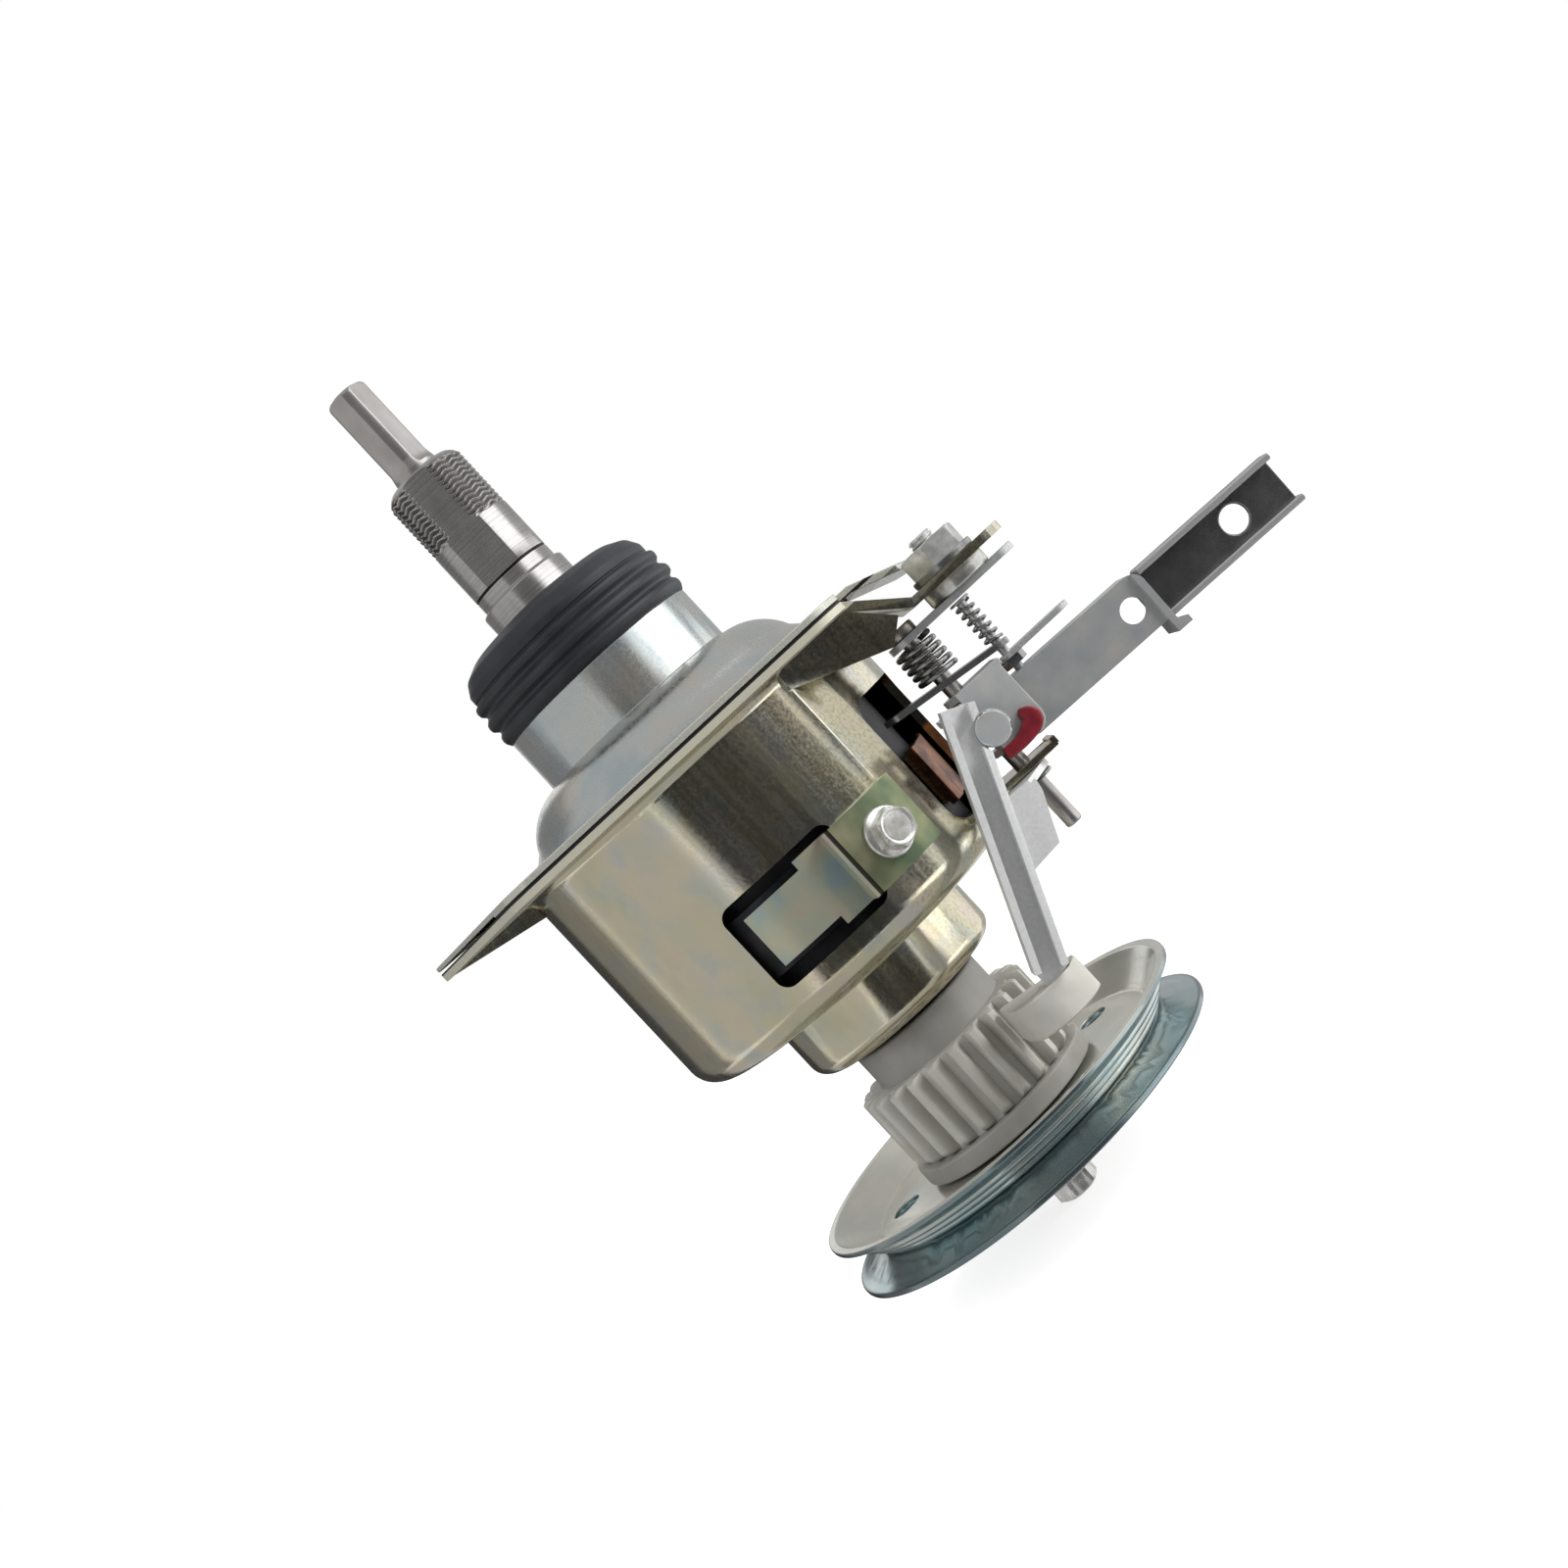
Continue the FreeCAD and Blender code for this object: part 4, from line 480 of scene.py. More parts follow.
flat_way = (np.cos(flats_turn), np.sin(flats_turn), 0.0)
to_flat = add(tree, "VectorMath", {0: place, 1: flat_way}, operation="DOT_PRODUCT").outputs["Value"]
off_flat = ranged(tree, maths(tree, "ABSOLUTE", to_flat), 1, 0, (flats_half - 0.11) * MM,
                  (flats_half - 0.03) * MM)
threaded = maths(tree, "MULTIPLY", off_flat, banded(tree, place, thread_foot, tube_top - 1.2))
roots = maths(tree, "MULTIPLY", maths(tree, "MULTIPLY", over_root, under_crest), threaded)
# The thread's roots, off the flats, are painted dark: painted shade in the thread's valleys.
roots_painted_shade = mixed(tree, roots, groove_painted_shade, tone(40, 38, 36))
feed(tree, shader, "Base Color", roots_painted_shade)
feed(tree, shader, "Roughness", ranged(tree, marks, 0.22, 0.28))
fit(tube, turned_steel, "spin_tube")


# Water seal: a moulded rubber cap that is pushed over the neck. Three lips seal in the tub's hole
# and an inner lip runs on the collar of the tube; fine rings are left by the mould.
seal_rows = [(11.9, 47.0, 0.4), (20.8, 45.6, 3.0), (24.4, 43.8, 2.0), (26.1, 41.0, 1.2),
             (26.1, 39.2, 0.3), (25.7, 38.7, 0.3), (27.1, 38.1, 0.4), (27.25, 37.3, 0.5),
             (27.1, 36.5, 0.4), (25.9, 35.3, 0.7), (27.4, 33.8, 0.4), (27.55, 33.0, 0.5),
             (27.4, 32.2, 0.4), (25.9, 31.0, 0.7), (27.0, 29.8, 0.4), (27.15, 29.0, 0.5),
             (27.0, 28.2, 0.4), (26.4, 27.2, 0.2), (26.15, 27.2, 0.05), (26.15, 26.8, 0.05),
             (25.0, 27.4, 0.1), (25.0, 34.0, 0.1), (23.5, 34.0, 0.1), (23.5, 36.5, 0.3),
             (22.9, 37.5, 0.3), (22.9, 40.6, 1.0), (19.7, 43.8, 0.5), (17.1, 43.8, 0.4),
             (15.1, 39.3, 0.4), (13.1, 38.8, 0.3), (11.9, 39.6, 0.3)]
seal = skin("water_seal_lips", spun(refined(rounded(seal_rows), 1.2), 160), bend=40)
blue_rubber, tree, shader, place = finish("blue_black_rubber", tone(30, 32, 37), 0.42, metallic=0.0)
skin_grain = clouds(tree, place, (0.5, 0.5, 0.5), 3.0)
rings = clouds(tree, place, (90, 90, 0.5), 2.0)
bloom = clouds(tree, place, (9, 9, 5), 4.0)
feed(tree, shader, "Base Color", shades(tree, bloom, (0.35, tone(25, 27, 31)), (0.68, tone(37, 39, 45))))
feed(tree, shader, "Roughness", ranged(tree, bloom, 0.38, 0.52))
surface = maths(tree, "ADD", skin_grain, rings)
relief(tree, shader, surface, 0.008)
fit(seal, blue_rubber, "water_seal")


# Upper housing: one sheet drawn to a bearing neck, a dome and a flange, zinc-plated with a blue
# passivation. Drawing left upright streaks on the neck; the flange is spot-welded to the cup's, and
# the joint between them shows as a dark line in the dull cut edge.
def eased(node, paint, width_mm, rounds=2):
    """The painted copy of a CAD node's mesh, its corners merged and its flat faces made whole, in
    which every edge that turns by more than the bend angle is rounded to the width."""
    bend = np.radians(28.0)
    mesh = bpy.data.meshes.new(node + "_eased")
    shell = bmesh.new()
    shell.from_mesh(frame["nodes"][node].data)
    bmesh.ops.remove_doubles(shell, verts=shell.verts, dist=1e-6)
    bmesh.ops.dissolve_limit(shell, angle_limit=np.radians(0.3), verts=shell.verts, edges=shell.edges)
    shell.to_mesh(mesh)
    shell.free()
    mesh.shade_smooth()
    mesh.set_sharp_from_angle(angle=bend)
    made = bpy.data.objects.new(node + "_eased", mesh)
    bpy.context.collection.objects.link(made)
    edge = made.modifiers.new("rounded_edges", "BEVEL")
    edge.width = width_mm * MM
    edge.segments = rounds
    edge.limit_method = "ANGLE"
    edge.angle_limit = bend
    edge.use_clamp_overlap = True
    edge.harden_normals = True
    fit(made, paint, node)


joint_black = tone(38, 37, 35)
joint_half = 0.42
cut_edge_half = 2.2
blue_zinc, tree, shader, place = finish("blue_zinc_plate", tone(204, 208, 207), 0.26)
drawn = clouds(tree, place, (1.6, 1.6, 70), 3.0)
cloudy = clouds(tree, place, (16, 16, 12), 3.0)
speck = clouds(tree, place, (0.7, 0.7, 0.7), 2.0)
plated = shades(tree, cloudy, (0.32, tone(188, 198, 202)), (0.5, tone(204, 208, 206)),
                (0.68, tone(212, 206, 198)))
cut_edge = banded(tree, place, -cut_edge_half, cut_edge_half)
edged = mixed(tree, cut_edge, plated, tone(188, 188, 178))
feed(tree, shader, "Base Color",
     mixed(tree, banded(tree, place, -joint_half, joint_half), edged, joint_black))
streaky = maths(tree, "ADD", drawn, speck)
feed(tree, shader, "Roughness", ranged(tree, streaky, 0.22, 0.32, 0.8, 1.2))
feed(tree, shader, "Metallic", ranged(tree, cut_edge, 1.0, 0.5, 0, 1))
eased("upper_housing", blue_zinc, 0.35)


# Weld marks: six small buttons of the plated sheet itself, bright and slightly raised, left where the
# electrodes pressed the two flange sheets together.
weld_angles = np.radians([-158.0, -128.0, -62.0, 62.0, 128.0, 158.0])
weld_circle = 49.8
flange_top = 1.8
button = np.array([(0.0, 0.32), (0.6, 0.28), (1.1, 0.14), (1.35, 0.0), (1.5, -0.3), (0.0, -0.3)])
buttons = [spun(button, 20) + np.array([weld_circle * np.cos(a), weld_circle * np.sin(a), flange_top])
           for a in weld_angles]
weld_marks = skin("weld_marks", *buttons, bend=60)
weld_marks.data.materials.append(blue_zinc)
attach(weld_marks, "housing")


# Lower housing: the cup that holds brake drum and lower bearing, drawn deep from sheet and
# yellow-passivated, which leaves olive, pink and bluish clouds, with small dark spots on the side
# towards the lever. Window and slot are punched.
yellow_zinc, tree, shader, place = finish("yellow_zinc_plate", tone(205, 202, 182), 0.22)
cloudy = clouds(tree, place, (17, 17, 24), 3.0)
patches = clouds(tree, place, (7, 7, 9), 4.0, shift=(3.0, 1.0, 7.0))
drawn = clouds(tree, place, (1.4, 1.4, 45), 3.0)
speck = clouds(tree, place, (0.55, 0.55, 0.55), 2.0)
ground = shades(tree, cloudy, (0.30, tone(178, 180, 152)), (0.46, tone(202, 199, 174)),
                (0.60, tone(212, 202, 182)), (0.72, tone(192, 196, 186)))
tints = shades(tree, patches, (0.34, tone(184, 192, 196)), (0.46, tone(204, 200, 182)),
               (0.58, tone(214, 202, 168)), (0.70, tone(210, 188, 184)))
spotted_side = ranged(tree, coordinate(tree, place, "X"), 0, 1, 13 * MM, 18 * MM)
dots = ranged(tree, clouds(tree, place, (0.7, 0.7, 0.9), 4.0), 0, 0.45, 0.45, 0.72)
dotted = maths(tree, "MULTIPLY", spotted_side, dots)
plated = mixed(tree, dotted, mixed(tree, 0.42, ground, tints), tone(136, 130, 112))
cut_edge = banded(tree, place, -cut_edge_half, cut_edge_half)
edged = mixed(tree, cut_edge, plated, tone(188, 185, 168))
feed(tree, shader, "Base Color",
     mixed(tree, banded(tree, place, -joint_half, joint_half), edged, joint_black))
streaky = maths(tree, "ADD", drawn, speck)
dull_edge = ranged(tree, cut_edge, 0.0, 0.5, 0, 1)
smooth_skin = ranged(tree, streaky, 0.14, 0.23, 0.8, 1.2)
feed(tree, shader, "Roughness", maths(tree, "MAXIMUM", dull_edge, smooth_skin))
feed(tree, shader, "Metallic", ranged(tree, cut_edge, 1.0, 0.4, 0, 1))
relief(tree, shader, drawn, 0.001)
eased("lower_housing", yellow_zinc, 0.35)


# Brake band, lining and anchor: a blued spring-steel band, copper-brown at its brazed end, with a
# woven friction strip goes round the drum. Its plated strap shows in the window, steps out through
# it and is held on the cup by a flange bolt.
tinted_zinc, tree, shader, place = finish("tinted_zinc_strap", tone(180, 184, 172), 0.28, metallic=0.55)
tints = clouds(tree, place, (9, 9, 12), 2.0, shift=(1.0, 4.0, 2.0))
strap = shades(tree, tints, (0.34, tone(142, 160, 162)), (0.46, tone(160, 166, 150)),
               (0.58, tone(172, 168, 146)), (0.68, tone(170, 156, 154)))
plate = shades(tree, tints, (0.38, tone(104, 122, 96)), (0.54, tone(146, 152, 120)),
               (0.68, tone(186, 182, 148)))
fold_x = 12.6
across = coordinate(tree, place, "X")
outward = ranged(tree, across, 0, 1, (fold_x - 0.2) * MM, fold_x * MM)
# A dark line along the fold is painted into the colour: painted shadow.
fold_shadow = maths(tree, "COMPARE", across, fold_x * MM, 0.5 * MM)
two_parts = mixed(tree, outward, strap, plate)
feed(tree, shader, "Base Color", mixed(tree, fold_shadow, two_parts, tone(58, 60, 50)))
feed(tree, shader, "Metallic", ranged(tree, outward, 0.5, 0.8, 0, 1))
blued_steel, tree, shader, place = finish("blued_spring_steel", tone(44, 46, 52), 0.35, metallic=0.8)
temper = clouds(tree, place, (6, 6, 6), 3.0)
blued = shades(tree, temper, (0.34, tone(34, 36, 42)), (0.66, tone(58, 58, 62)))
coppered = shades(tree, temper, (0.36, tone(96, 62, 46)), (0.62, tone(176, 116, 80)))
brazed_end = ranged(tree, coordinate(tree, place, "X"), 0, 0.85, 31 * MM, 34 * MM)
feed(tree, shader, "Base Color", mixed(tree, brazed_end, blued, coppered))
eased("brake_band", blued_steel, 0.25)
eased("band_anchor", tinted_zinc, 0.45)
bright_zinc, tree, shader, place = finish("bright_zinc_bolt", tone(214, 213, 208), 0.24, metallic=0.72)
worn = clouds(tree, place, (2.2, 2.2, 2.2), 4.0)
feed(tree, shader, "Base Color",
     shades(tree, worn, (0.35, tone(196, 194, 186)), (0.65, tone(228, 228, 227))))
feed(tree, shader, "Roughness", ranged(tree, worn, 0.20, 0.30))
relief(tree, shader, worn, 0.004)


def bolt_skin(name, rows, seat, out, hex_half, turn):
    """A bolt's surface on its own axis, closed by poles at both ends. Each row has a height over the
    seat, a radius and a share of hexagon: the radius is the least of its own and, where the share is
    1, of hex_half / cos(angle from the nearest flat's middle)."""
    angle = np.linspace(0, 2 * np.pi, 96, endpoint=False)
    from_middle = (angle + np.pi / 6) % (np.pi / 3) - np.pi / 6
    height, radius, share = np.array(rows, float).T[:, :, None]
    hexed = np.minimum(radius, hex_half / np.cos(from_middle)[None, :])
    size = np.where(share > 0.5, hexed, radius)
    out = np.array(out, float) / np.linalg.norm(out)
    side = np.cross(out, [0.0, 0.0, 1.0] if abs(out[2]) < 0.9 else [1.0, 0.0, 0.0])
    side /= np.linalg.norm(side)
    rise = np.cross(side, out)
    around = np.cos(angle + turn)[:, None] * side + np.sin(angle + turn)[:, None] * rise
    points = np.array(seat) + height[..., None] * out + size[..., None] * around[None]
    return skin(name, points, looped=False, bend=25)


cup_r = 47.0
anchor_thick = 2.2
bolt_flange = 1.2
bolt_z = -41.8
bolt_angle = np.radians(-90 + 26.5)
bolt_out = np.array([np.cos(bolt_angle), np.sin(bolt_angle), 0.0])
bolt_rows = [(4.2, 0, 0), (4.2, 2.9, 0), (3.95, 3.1, 0), (4.1, 3.35, 0), (4.2, 3.8, 0), (4.0, 4.1, 0),
             (3.6, 4.7, 1), (3.3, 5.0, 1), (0.1, 5.0, 1), (0.0, 4.9, 0), (-0.15, 5.4, 0), (-0.5, 5.6, 0),
             (-1.1, 5.6, 0), (-1.2, 5.5, 0), (-1.2, 2.4, 0), (-5.3, 2.4, 0), (-5.4, 2.3, 0),
             (-5.4, 0, 0)]
bolt_seat = bolt_out * (cup_r + anchor_thick + bolt_flange) + np.array([0.0, 0.0, bolt_z])
anchor_bolt = bolt_skin("anchor_bolt_forged", bolt_rows, bolt_seat, bolt_out, hex_half=4.15,
                        turn=np.radians(12))
fit(anchor_bolt, bright_zinc, "anchor_bolt")
woven, tree, shader, place = finish("woven_lining", tone(120, 82, 58), 0.85, metallic=0.0)
weft = clouds(tree, place, (0.9, 0.9, 0.45), 3.0)
feed(tree, shader, "Base Color",
     shades(tree, weft, (0.35, tone(92, 62, 44)), (0.6, tone(132, 90, 62)), (0.75, tone(172, 128, 84))))
relief(tree, shader, weft, 0.06)
eased("brake_lining", woven, 0.2)


# Stud, washer and nut in the bent ear, all of zinc-plated steel: they clamp the guide plate under the
# ear. The stud's rolled thread stands out of the nut by three turns.
stud_at = np.array([70.7, -22.0])
dark_zinc, tree, shader, place = finish("dark_zinc_plate", tone(150, 150, 151), 0.22, metallic=0.9)
cloudy = clouds(tree, place, (6, 6, 6), 3.0)
web = shades(tree, cloudy, (0.32, tone(134, 134, 136)), (0.68, tone(156, 156, 156)))
near_y = -30.3
near_edge = ranged(tree, coordinate(tree, place, "Y"), 1, 0, (near_y - 0.6) * MM, near_y * MM)
feed(tree, shader, "Base Color", mixed(tree, near_edge, web, tone(168, 168, 168)))
feed(tree, shader, "Metallic", ranged(tree, near_edge, 0.9, 0.55, 0, 1))
speck = clouds(tree, place, (0.5, 0.5, 0.5), 2.0)
feed(tree, shader, "Roughness", ranged(tree, speck, 0.18, 0.27))
relief(tree, shader, speck, 0.001)


def screw(radius, root, pitch, low, high, at):
    """A threaded rod on its own axis. Its radius falls from the outer one to the root by a triangle
    wave of z over the pitch less the angle's turn, stretched by 1.3, lowered by 0.1 and clipped, and
    to the root at both ends, which close to a pole."""
    z = np.linspace(low, high, max(int((high - low) / pitch * 8), 8))
    angle = np.linspace(0, 2 * np.pi, 72, endpoint=False)
    wave = np.abs(((z[:, None] / pitch - angle[None, :] / (2 * np.pi)) % 1) * 2 - 1)
    ends = np.clip((z - low) / 0.4, 0, 1) * np.clip((high - z) / 0.4, 0, 1)
    side = root + (radius - root) * np.clip(wave * 1.3 - 0.1, 0, 1) * ends[:, None]
    side = np.concatenate([side[:1] * 0, side, side[-1:] * 0])
    z = np.concatenate([z[:1], z, z[-1:]])[:, None] + 0 * side
    return np.stack([at[0] + side * np.cos(angle), at[1] + side * np.sin(angle), z], -1)


stud_line = rounded([(0, -15.0, 0), (8.1, -15.0, 0.5), (8.1, -11.7, 0.3), (0, -11.7, 0)])
stud = skin("tab_stud_threaded", spun(stud_line, 64) + np.array([*stud_at, 0.0]), bend=40)
stud_thread = screw(radius=3.0, root=2.55, pitch=1.0, low=-11.8, high=-0.9, at=stud_at)
thread_part = skin("tab_stud_screw", stud_thread, looped=False, bend=50)
nut_zinc, tree, shader, place = finish("nut_zinc_plate", tone(204, 204, 201), 0.26, metallic=0.8)
cloudy = clouds(tree, place, (3, 3, 3), 3.0)
feed(tree, shader, "Base Color",
     shades(tree, cloudy, (0.34, tone(186, 186, 182)), (0.66, tone(220, 220, 218))))
fit(stud, nut_zinc, "tab_stud")
thread_part.data.materials.append(nut_zinc)
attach(thread_part, "housing")
eased("tab_nut", nut_zinc, 0.3)
eased("tab_washer", dark_zinc, 0.3)


# Pivot of the lever: an upright steel pin between the galvanised guide plate and a lug welded to the
# cup, held by a spring clip. A coil spring on the pin turns the lever back.
def facing_up(tree):
    """1 on faces that look up, 0 on upright ones and -1 on those that look down."""
    return coordinate(tree, add(tree, "TexCoord").outputs["Normal"], "Z")


pivot_at = np.array([53.6, -25.0])
galvanised, tree, shader, place = finish("galvanised_sheet", tone(186, 188, 188), 0.33, metallic=0.68)
spangle = clouds(tree, place, (5, 5, 5), 3.0)
speck = clouds(tree, place, (0.6, 0.6, 0.6), 2.0)
sheet = shades(tree, spangle, (0.32, tone(176, 180, 182)), (0.52, tone(186, 188, 188)),
               (0.7, tone(196, 195, 190)))
# Bends and bevels, found by how far each face tilts, are painted darker: painted shade.
tilt = maths(tree, "ABSOLUTE", facing_up(tree))
bent = maths(tree, "MULTIPLY", ranged(tree, tilt, 0, 0.8, 0.15, 0.4),
             ranged(tree, tilt, 1, 0, 0.8, 0.95))
feed(tree, shader, "Base Color", mixed(tree, bent, sheet, tone(76, 78, 80)))
feed(tree, shader, "Roughness", ranged(tree, speck, 0.28, 0.38))
relief(tree, shader, speck, 0.001)
eased("guide_plate", galvanised, 0.35)
eased("lower_lug", yellow_zinc, 0.35)
pin_line = rounded([(0, -69.4, 0), (2.0, -69.4, 0.5), (2.0, -57.2, 0.05), (1.5, -57.2, 0.05),
                    (1.5, -56.4, 0.05), (2.0, -56.4, 0.05), (2.0, -15.0, 0.1), (3.4, -15.0, 0.3),
                    (3.4, -12.6, 0.5), (0, -12.6, 0)])
pin = skin("pivot_pin_turned", spun(pin_line, 48) + np.array([*pivot_at, 0.0]), bend=40)
fit(pin, ground_steel, "pivot_pin")
spring_wire, tree, shader, place = finish("oiled_spring_wire", tone(160, 160, 160), 0.26)
drawn = clouds(tree, place, (0.4, 0.4, 0.4), 3.0)
feed(tree, shader, "Base Color",
     shades(tree, drawn, (0.35, tone(128, 128, 128)), (0.65, tone(178, 178, 178))))
eased("pivot_clip", spring_wire, 0.2)


def coil(mean_r, wire_r, pitch, top, turns, at):
    """A wire wound downwards. The wire's middle follows a circle of the mean radius and falls by the
    pitch for each turn. The wire's round is drawn with the circle's outward direction and the upright
    one, and both ends close to a point."""
    steps = int(turns * 40)
    turn = np.linspace(0, turns, steps)
    fall = pitch * turn
    angle = turn * 2 * np.pi
    outward = np.stack([np.cos(angle), np.sin(angle), 0 * angle], -1)
    middle = outward * mean_r + np.stack([0 * fall + at[0], 0 * fall + at[1], top - fall], -1)
    round_wire = np.linspace(0, 2 * np.pi, 16, endpoint=False)
    size = np.full(steps, wire_r)
    size[[0, -1]] = 0
    middle[0], middle[-1] = middle[1], middle[-2]
    across = outward[:, None, :] * np.cos(round_wire)[None, :, None]
    upright = np.array([0, 0, 1.0])[None, None, :] * np.sin(round_wire)[None, :, None]
    return middle[:, None, :] + (across + upright) * size[:, None, None]


pivot_coil = skin("pivot_spring_wound",
                  coil(mean_r=4.55, wire_r=0.65, pitch=1.75, top=-17.25, turns=5.0, at=pivot_at),
                  looped=False, bend=60)
fit(pivot_coil, spring_wire, "pivot_spring")


# Lever: bracket and channel are pressed from galvanised sheet, with painted shade on its bends, and
# riveted together. The handle's channel, plated darker with bright near edges, is welded to the end
# tab, and the brake plate slides in the cup's slot.
post_at = np.array([67.4, -25.0])
bracket_zinc, tree, shader, place = finish("bracket_zinc", tone(196, 198, 198), 0.35, metallic=0.58)
cloudy = clouds(tree, place, (5, 5, 5), 3.0)
feed(tree, shader, "Base Color",
     shades(tree, cloudy, (0.34, tone(188, 192, 193)), (0.68, tone(204, 204, 200))))
eased("lever_bracket", bracket_zinc, 0.4)
eased("lever_channel", galvanised, 0.45)
eased("lever_extension", dark_zinc, 0.45)
eased("brake_plate", dark_zinc, 0.3)
eased("post_plate", galvanised, 0.3)
eased("post_nut", dark_zinc, 0.25)
eased("spring_post", galvanised, 0.2)
eased("lever_boss", bracket_zinc, 0.35)
post_coil = skin("post_spring_wound",
                 coil(mean_r=1.95, wire_r=0.36, pitch=1.8, top=-17.96, turns=6.0, at=post_at),
                 looped=False, bend=60)
fit(post_coil, spring_wire, "post_spring")
red_plastic, tree, shader, place = finish("deep_red_plastic", tone(112, 20, 32), 0.34, metallic=0.0)
moulded = clouds(tree, place, (2.5, 2.5, 2.5), 3.0)
feed(tree, shader, "Base Color",
     shades(tree, moulded, (0.35, tone(96, 14, 26)), (0.68, tone(126, 24, 36))))
relief(tree, shader, moulded, 0.01)


def swept_bar(name, middle, half, near, far):
    """A flat bar along a curved line in X and Z. The line and its half width run through the given
    points, smoothed over a seventh of the way; its section is a rounded box, the signs and roots of
    cos and sin of a full turn, between the near and far depths, and both ends close to a point."""
    knots = np.linspace(0, 1, len(middle))
    steps = np.linspace(0, 1, 85)
    blur = np.hanning(15)
    blur /= blur.sum()
    line = np.stack([np.convolve(np.pad(np.interp(steps, knots, column), 7, mode="edge"), blur, "valid")
                     for column in (*np.array(middle, float).T, np.array(half, float))], -1)
    path, wide = line[:, :2], line[:, 2].copy()
    along = np.gradient(path, axis=0)
    along /= np.linalg.norm(along, axis=1)[:, None]
    normal = np.stack([-along[:, 1], along[:, 0]], -1)
    wide *= np.sqrt(np.clip(1 - np.clip(1 - steps / 0.05, 0, 1) ** 2, 0, 1))
    wide *= np.sqrt(np.clip(1 - np.clip(1 - (1 - steps) / 0.05, 0, 1) ** 2, 0, 1))
    turn = np.linspace(0, 2 * np.pi, 40, endpoint=False)
    across = np.sign(np.cos(turn)) * abs(np.cos(turn)) ** 0.45
    deep = np.sign(np.sin(turn)) * abs(np.sin(turn)) ** 0.45
    flat = path[:, None, :] + normal[:, None, :] * (wide[:, None] * across[None, :])[..., None]
    thin = np.clip(wide / 1.2, 0, 1)[:, None]
    y = (near + far) / 2 + (far - near) / 2 * deep[None, :] * thin
    return skin(name, np.stack([flat[..., 0], y, flat[..., 1]], -1), looped=False, bend=50)


stop_line = [(51.3, -47.6), (53.2, -47.75), (55.4, -47.8), (57.6, -47.5), (59.6, -46.9), (61.0, -45.8),
             (60.9, -44.5), (60.0, -43.5), (59.2, -42.8)]
stop_half = [1.3, 1.4, 1.55, 1.75, 2.2, 2.35, 1.9, 1.3, 0.7]
fit(swept_bar("red_stop_moulded", stop_line, stop_half, near=-34.8, far=-32.8), red_plastic, "red_stop")


# Pawl arm and shoe: a long channel pressed from dull zinc-plated sheet hangs from the same pin and
# carries a moulded nylon shoe, whose claw drops between the ratchet's teeth when the lever is let go.
rolled_zinc, tree, shader, place = finish("rolled_zinc_arm", tone(200, 201, 200), 0.40, metallic=0.22)
speck = clouds(tree, place, (0.9, 0.9, 0.9), 3.0)
feed(tree, shader, "Base Color",
     shades(tree, speck, (0.34, tone(196, 197, 196)), (0.66, tone(206, 207, 206))))
eased("pawl_arm", rolled_zinc, 0.45)
teeth_top = -87.3
teeth_foot = -106.6
milky = {"Subsurface Weight": 0.15, "Subsurface Scale": 0.002, "Subsurface Radius": (1.0, 0.9, 0.7)}
white_nylon, tree, shader, place = finish("off_white_nylon", tone(158, 156, 150), 0.46, metallic=0.0,
                                          **milky)
cloudy = clouds(tree, place, (8, 8, 10), 3.0)
speck = clouds(tree, place, (0.5, 0.5, 0.5), 2.0)
# The toothed band is painted lighter and the collar and disc darker: painted light and shade on one nylon.
toothed = banded(tree, place, teeth_foot, teeth_top)
body_painted_shade = shades(tree, cloudy, (0.34, tone(132, 130, 124)), (0.70, tone(146, 144, 140)))
teeth_painted_light = shades(tree, cloudy, (0.34, tone(168, 166, 158)), (0.70, tone(184, 182, 176)))
feed(tree, shader, "Base Color", mixed(tree, toothed, body_painted_shade, teeth_painted_light))
relief(tree, shader, speck, 0.006)
eased("pawl_tip", white_nylon, 0.7, rounds=3)


# Ratchet: a wheel moulded from the same nylon, which sits round the clutch spring, with a smooth
# collar, saw teeth with rounded feet and a thin disc under them.
tooth_count = 24
tooth_columns = 20
tooth_pitch = 360 / tooth_count
ratchet_phase = 12.2
collar_r = 17.7
root_r = 20.6
tip_r = 24.0
smooth_within = 20.0
tooth_rise = 0.07
tooth_end = 0.64
tooth_fall = 0.34


def teeth_trim(angle, z, radius):
    """Radius of the toothed part: root + (tip - root) times a saw of the angle's share of a pitch,
    which rises steeply, stays and falls slowly, all rounded, and fades on a quarter circle above the
    disc and at the top."""
    share = ((np.degrees(angle) - ratchet_phase) % tooth_pitch) / tooth_pitch
    rise = np.clip(share / tooth_rise, 0, 1)
    fall = np.clip((tooth_end - share) / tooth_fall, 0, 1)
    saw = np.sin(rise * np.pi / 2) * np.sin(fall * np.pi / 2)
    foot = np.sqrt(1 - np.clip(1 - (z - teeth_foot - 0.2) / 2.2, 0, 1) ** 2)
    head = np.sqrt(1 - np.clip(1 - (teeth_top - z) / 0.8, 0, 1) ** 2) * 0.25 + 0.75
    toothed = root_r + (tip_r - root_r) * saw * foot * head
    inside = (z <= teeth_top + 0.01) & (z >= teeth_foot) & (radius > smooth_within)
    return np.where(inside, toothed, radius)


ratchet_line = rounded([(14.8, -111.2, 0.3), (24.5, -111.2, 0.6), (24.5, teeth_foot, 0.6),
                        (root_r, teeth_foot, 0.0), (root_r, teeth_top, 0.0), (collar_r, teeth_top, 0.5),
                        (collar_r, -78.4, 0.7), (14.8, -78.4, 0.4)])
line_r, line_z = ratchet_line.T
upright = (line_r > smooth_within) & (line_z >= teeth_foot - 0.01) & (line_z < teeth_top + 0.01)
ratchet_line = refined(ratchet_line, np.where(upright, 0.5, 2.5))
ratchet = skin("ratchet_ribbed", spun(ratchet_line, tooth_count * tooth_columns, teeth_trim), bend=45)
fit(ratchet, white_nylon, "ratchet_wheel")


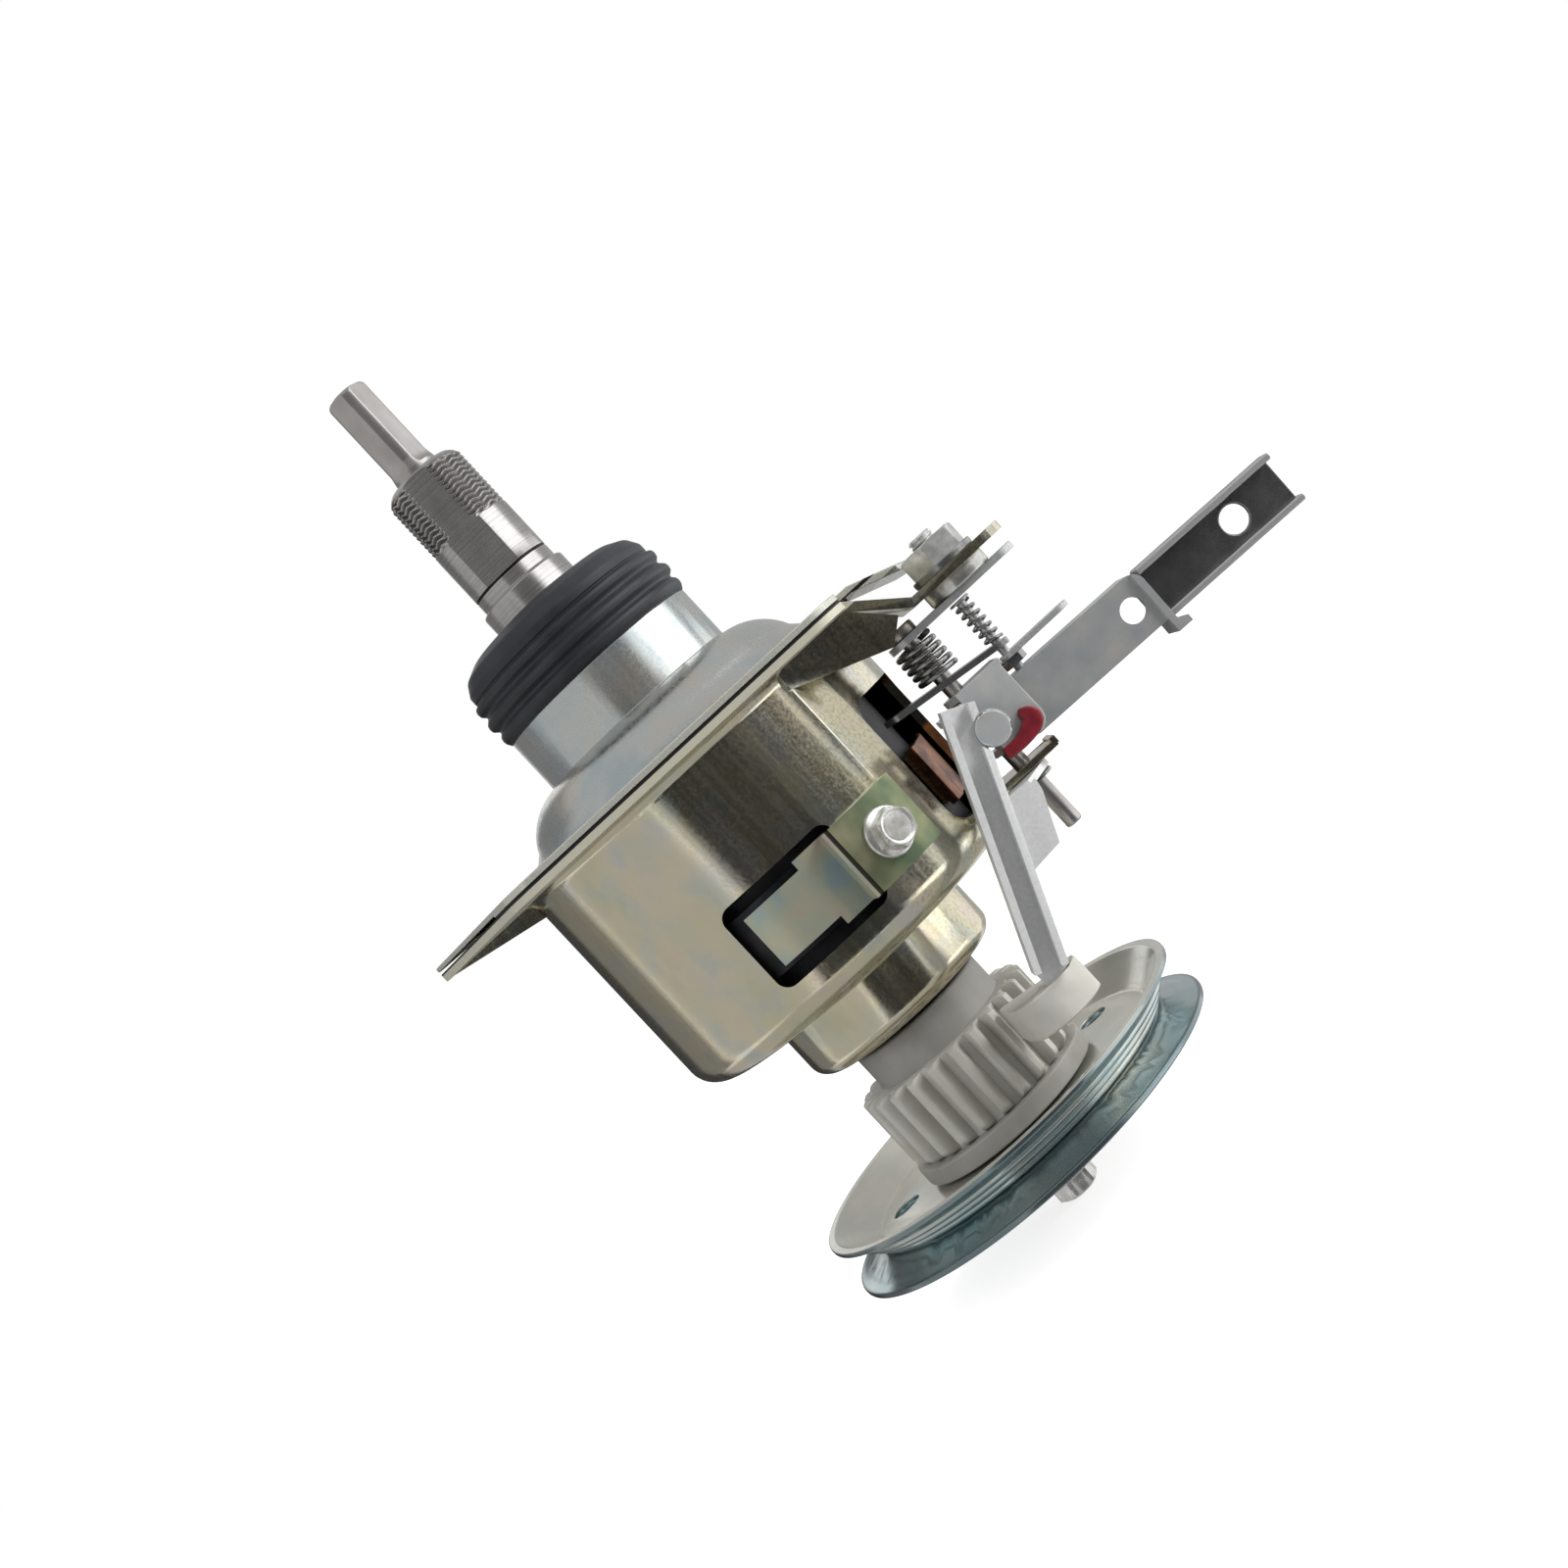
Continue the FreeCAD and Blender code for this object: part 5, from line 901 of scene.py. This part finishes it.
# Pulley: two pressed discs, joined back to back, form the groove of the belt; a hub with two flats
# and a bolt hold them on the input shaft. The plating is glossy, teal in the groove, beige on the
# upper face and dark at the lips.
teal_zinc, tree, shader, place = finish("teal_zinc_plate", tone(150, 172, 176), 0.20)
rolled = clouds(tree, place, (60, 60, 0.7), 3.0)
cloudy = clouds(tree, place, (14, 14, 6), 3.0)
teal = shades(tree, cloudy, (0.32, tone(160, 182, 186)), (0.52, tone(176, 188, 189)),
              (0.70, tone(190, 194, 188)))
beige = shades(tree, cloudy, (0.32, tone(196, 198, 190)), (0.70, tone(214, 210, 198)))
belt_z = -113.7
pulley_r = 51.8
upper_half = ranged(tree, coordinate(tree, place, "Z"), 0, 1, (belt_z + 0.1) * MM, (belt_z + 0.7) * MM)
above = maths(tree, "MULTIPLY", ranged(tree, facing_up(tree), 0, 1, 0.05, 0.25), upper_half)
lip = ranged(tree, off_axis(tree, place), 0, 0.75, (pulley_r - 0.9) * MM, (pulley_r - 0.4) * MM)
faced = mixed(tree, above, teal, beige)
feed(tree, shader, "Base Color", mixed(tree, lip, faced, tone(92, 106, 110)))
feed(tree, shader, "Metallic", ranged(tree, above, 0.9, 0.66, 0, 1))
feed(tree, shader, "Roughness", ranged(tree, rolled, 0.14, 0.26))
relief(tree, shader, rolled, 0.001)
eased("pulley_upper_half", teal_zinc, 0.4)
eased("pulley_lower_half", teal_zinc, 0.4)
eased("pulley_hub", turned_steel, 0.3)


# Groove beads: the roller that closed the groove left three low round beads on the slope of the
# upper disc, from which the plating shines.
slope_foot = np.array([42.0, belt_z])
slope_top = np.array([49.1, -106.975])
bead_r = 0.85
bead_sunk = 0.32
bead_places = (1.3, 3.7, 6.1)
slope = (slope_top - slope_foot) / np.linalg.norm(slope_top - slope_foot)
inward = np.array([-slope[1], slope[0]])
bead_turn = np.linspace(0, 2 * np.pi, 20, endpoint=False)
bead_ring = bead_r * np.stack([np.cos(bead_turn), np.sin(bead_turn)], -1)
beads = [spun(slope_foot + slope * along + inward * bead_sunk + bead_ring, 160) for along in bead_places]
groove_beads = skin("groove_beads", *beads, bend=60)
groove_beads.data.materials.append(teal_zinc)
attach(groove_beads, body_of["pulley_upper_half"])
eased("pulley_washer", bright_zinc, 0.3)
bolt_rows = [(5.0, 0, 0), (5.0, 4.3, 0), (4.8, 4.6, 0), (4.5, 5.1, 1), (4.2, 6.0, 1), (0.1, 6.0, 1),
             (0.0, 5.9, 1), (0.0, 3.0, 0), (-21.8, 3.0, 0), (-22.0, 2.8, 0), (-22.0, 0, 0)]
bolt_seat = (0, 0, -130.7)
pulley_bolt = bolt_skin("pulley_bolt_forged", bolt_rows, bolt_seat, (0, 0, -1), hex_half=5.0,
                        turn=np.radians(10))
fit(pulley_bolt, bright_zinc, "pulley_bolt")
eased("clutch_sleeve", turned_steel, 0.3)


# Inner pieces: bearings, drum, gears, bushes and seals keep the CAD's own surfaces, and each gets
# the finish of what it is made of.
def coat(paint, *nodes):
    """The CAD nodes stay as they are and get the material."""
    for node in nodes:
        own = frame["nodes"][node].data.materials
        own.clear()
        own.append(paint)


bearing_steel, tree, shader, place = finish("bearing_steel", tone(214, 214, 214), 0.16)
marks = clouds(tree, place, (50, 50, 0.3), 2.0)
feed(tree, shader, "Roughness", ranged(tree, marks, 0.12, 0.24))
relief(tree, shader, marks, 0.001)
coat(bearing_steel, "upper_bearing_outer_ring", "upper_bearing_inner_ring", "lower_bearing_outer_ring",
     "lower_bearing_inner_ring", "upper_bearing_balls", "lower_bearing_balls")
oiled_steel, tree, shader, place = finish("oiled_steel", tone(96, 94, 92), 0.36)
film = clouds(tree, place, (5, 5, 5), 4.0)
feed(tree, shader, "Base Color",
     shades(tree, film, (0.32, tone(78, 75, 71)), (0.68, tone(112, 111, 110))))
feed(tree, shader, "Roughness", ranged(tree, film, 0.26, 0.48))
drum_iron, tree, shader, place = finish("drum_iron", tone(34, 35, 40), 0.5, metallic=0.4)
rust = clouds(tree, place, (4, 4, 4), 4.0)
feed(tree, shader, "Base Color", shades(tree, rust, (0.35, tone(24, 25, 29)), (0.68, tone(46, 46, 50))))
coat(drum_iron, "drum_lid", "brake_drum")
coat(oiled_steel, "ring_gear", "input_shaft", "carrier_top_plate", "carrier_bottom_plate",
     "planet_pins", "planet_gear_1", "planet_gear_2", "planet_gear_3", "planet_gear_4")
bronze, tree, shader, place = finish("sintered_bronze", tone(186, 138, 82), 0.42)
pores = clouds(tree, place, (0.35, 0.35, 0.35), 3.0)
feed(tree, shader, "Base Color",
     shades(tree, pores, (0.36, tone(136, 96, 56)), (0.6, tone(196, 150, 94))))
relief(tree, shader, pores, 0.01)
coat(bronze, "upper_shaft_bush", "lower_shaft_bush", "input_bush")
coat(blue_rubber, "shaft_seal")
coat(spring_wire, "seal_lip_spring", "clutch_spring")
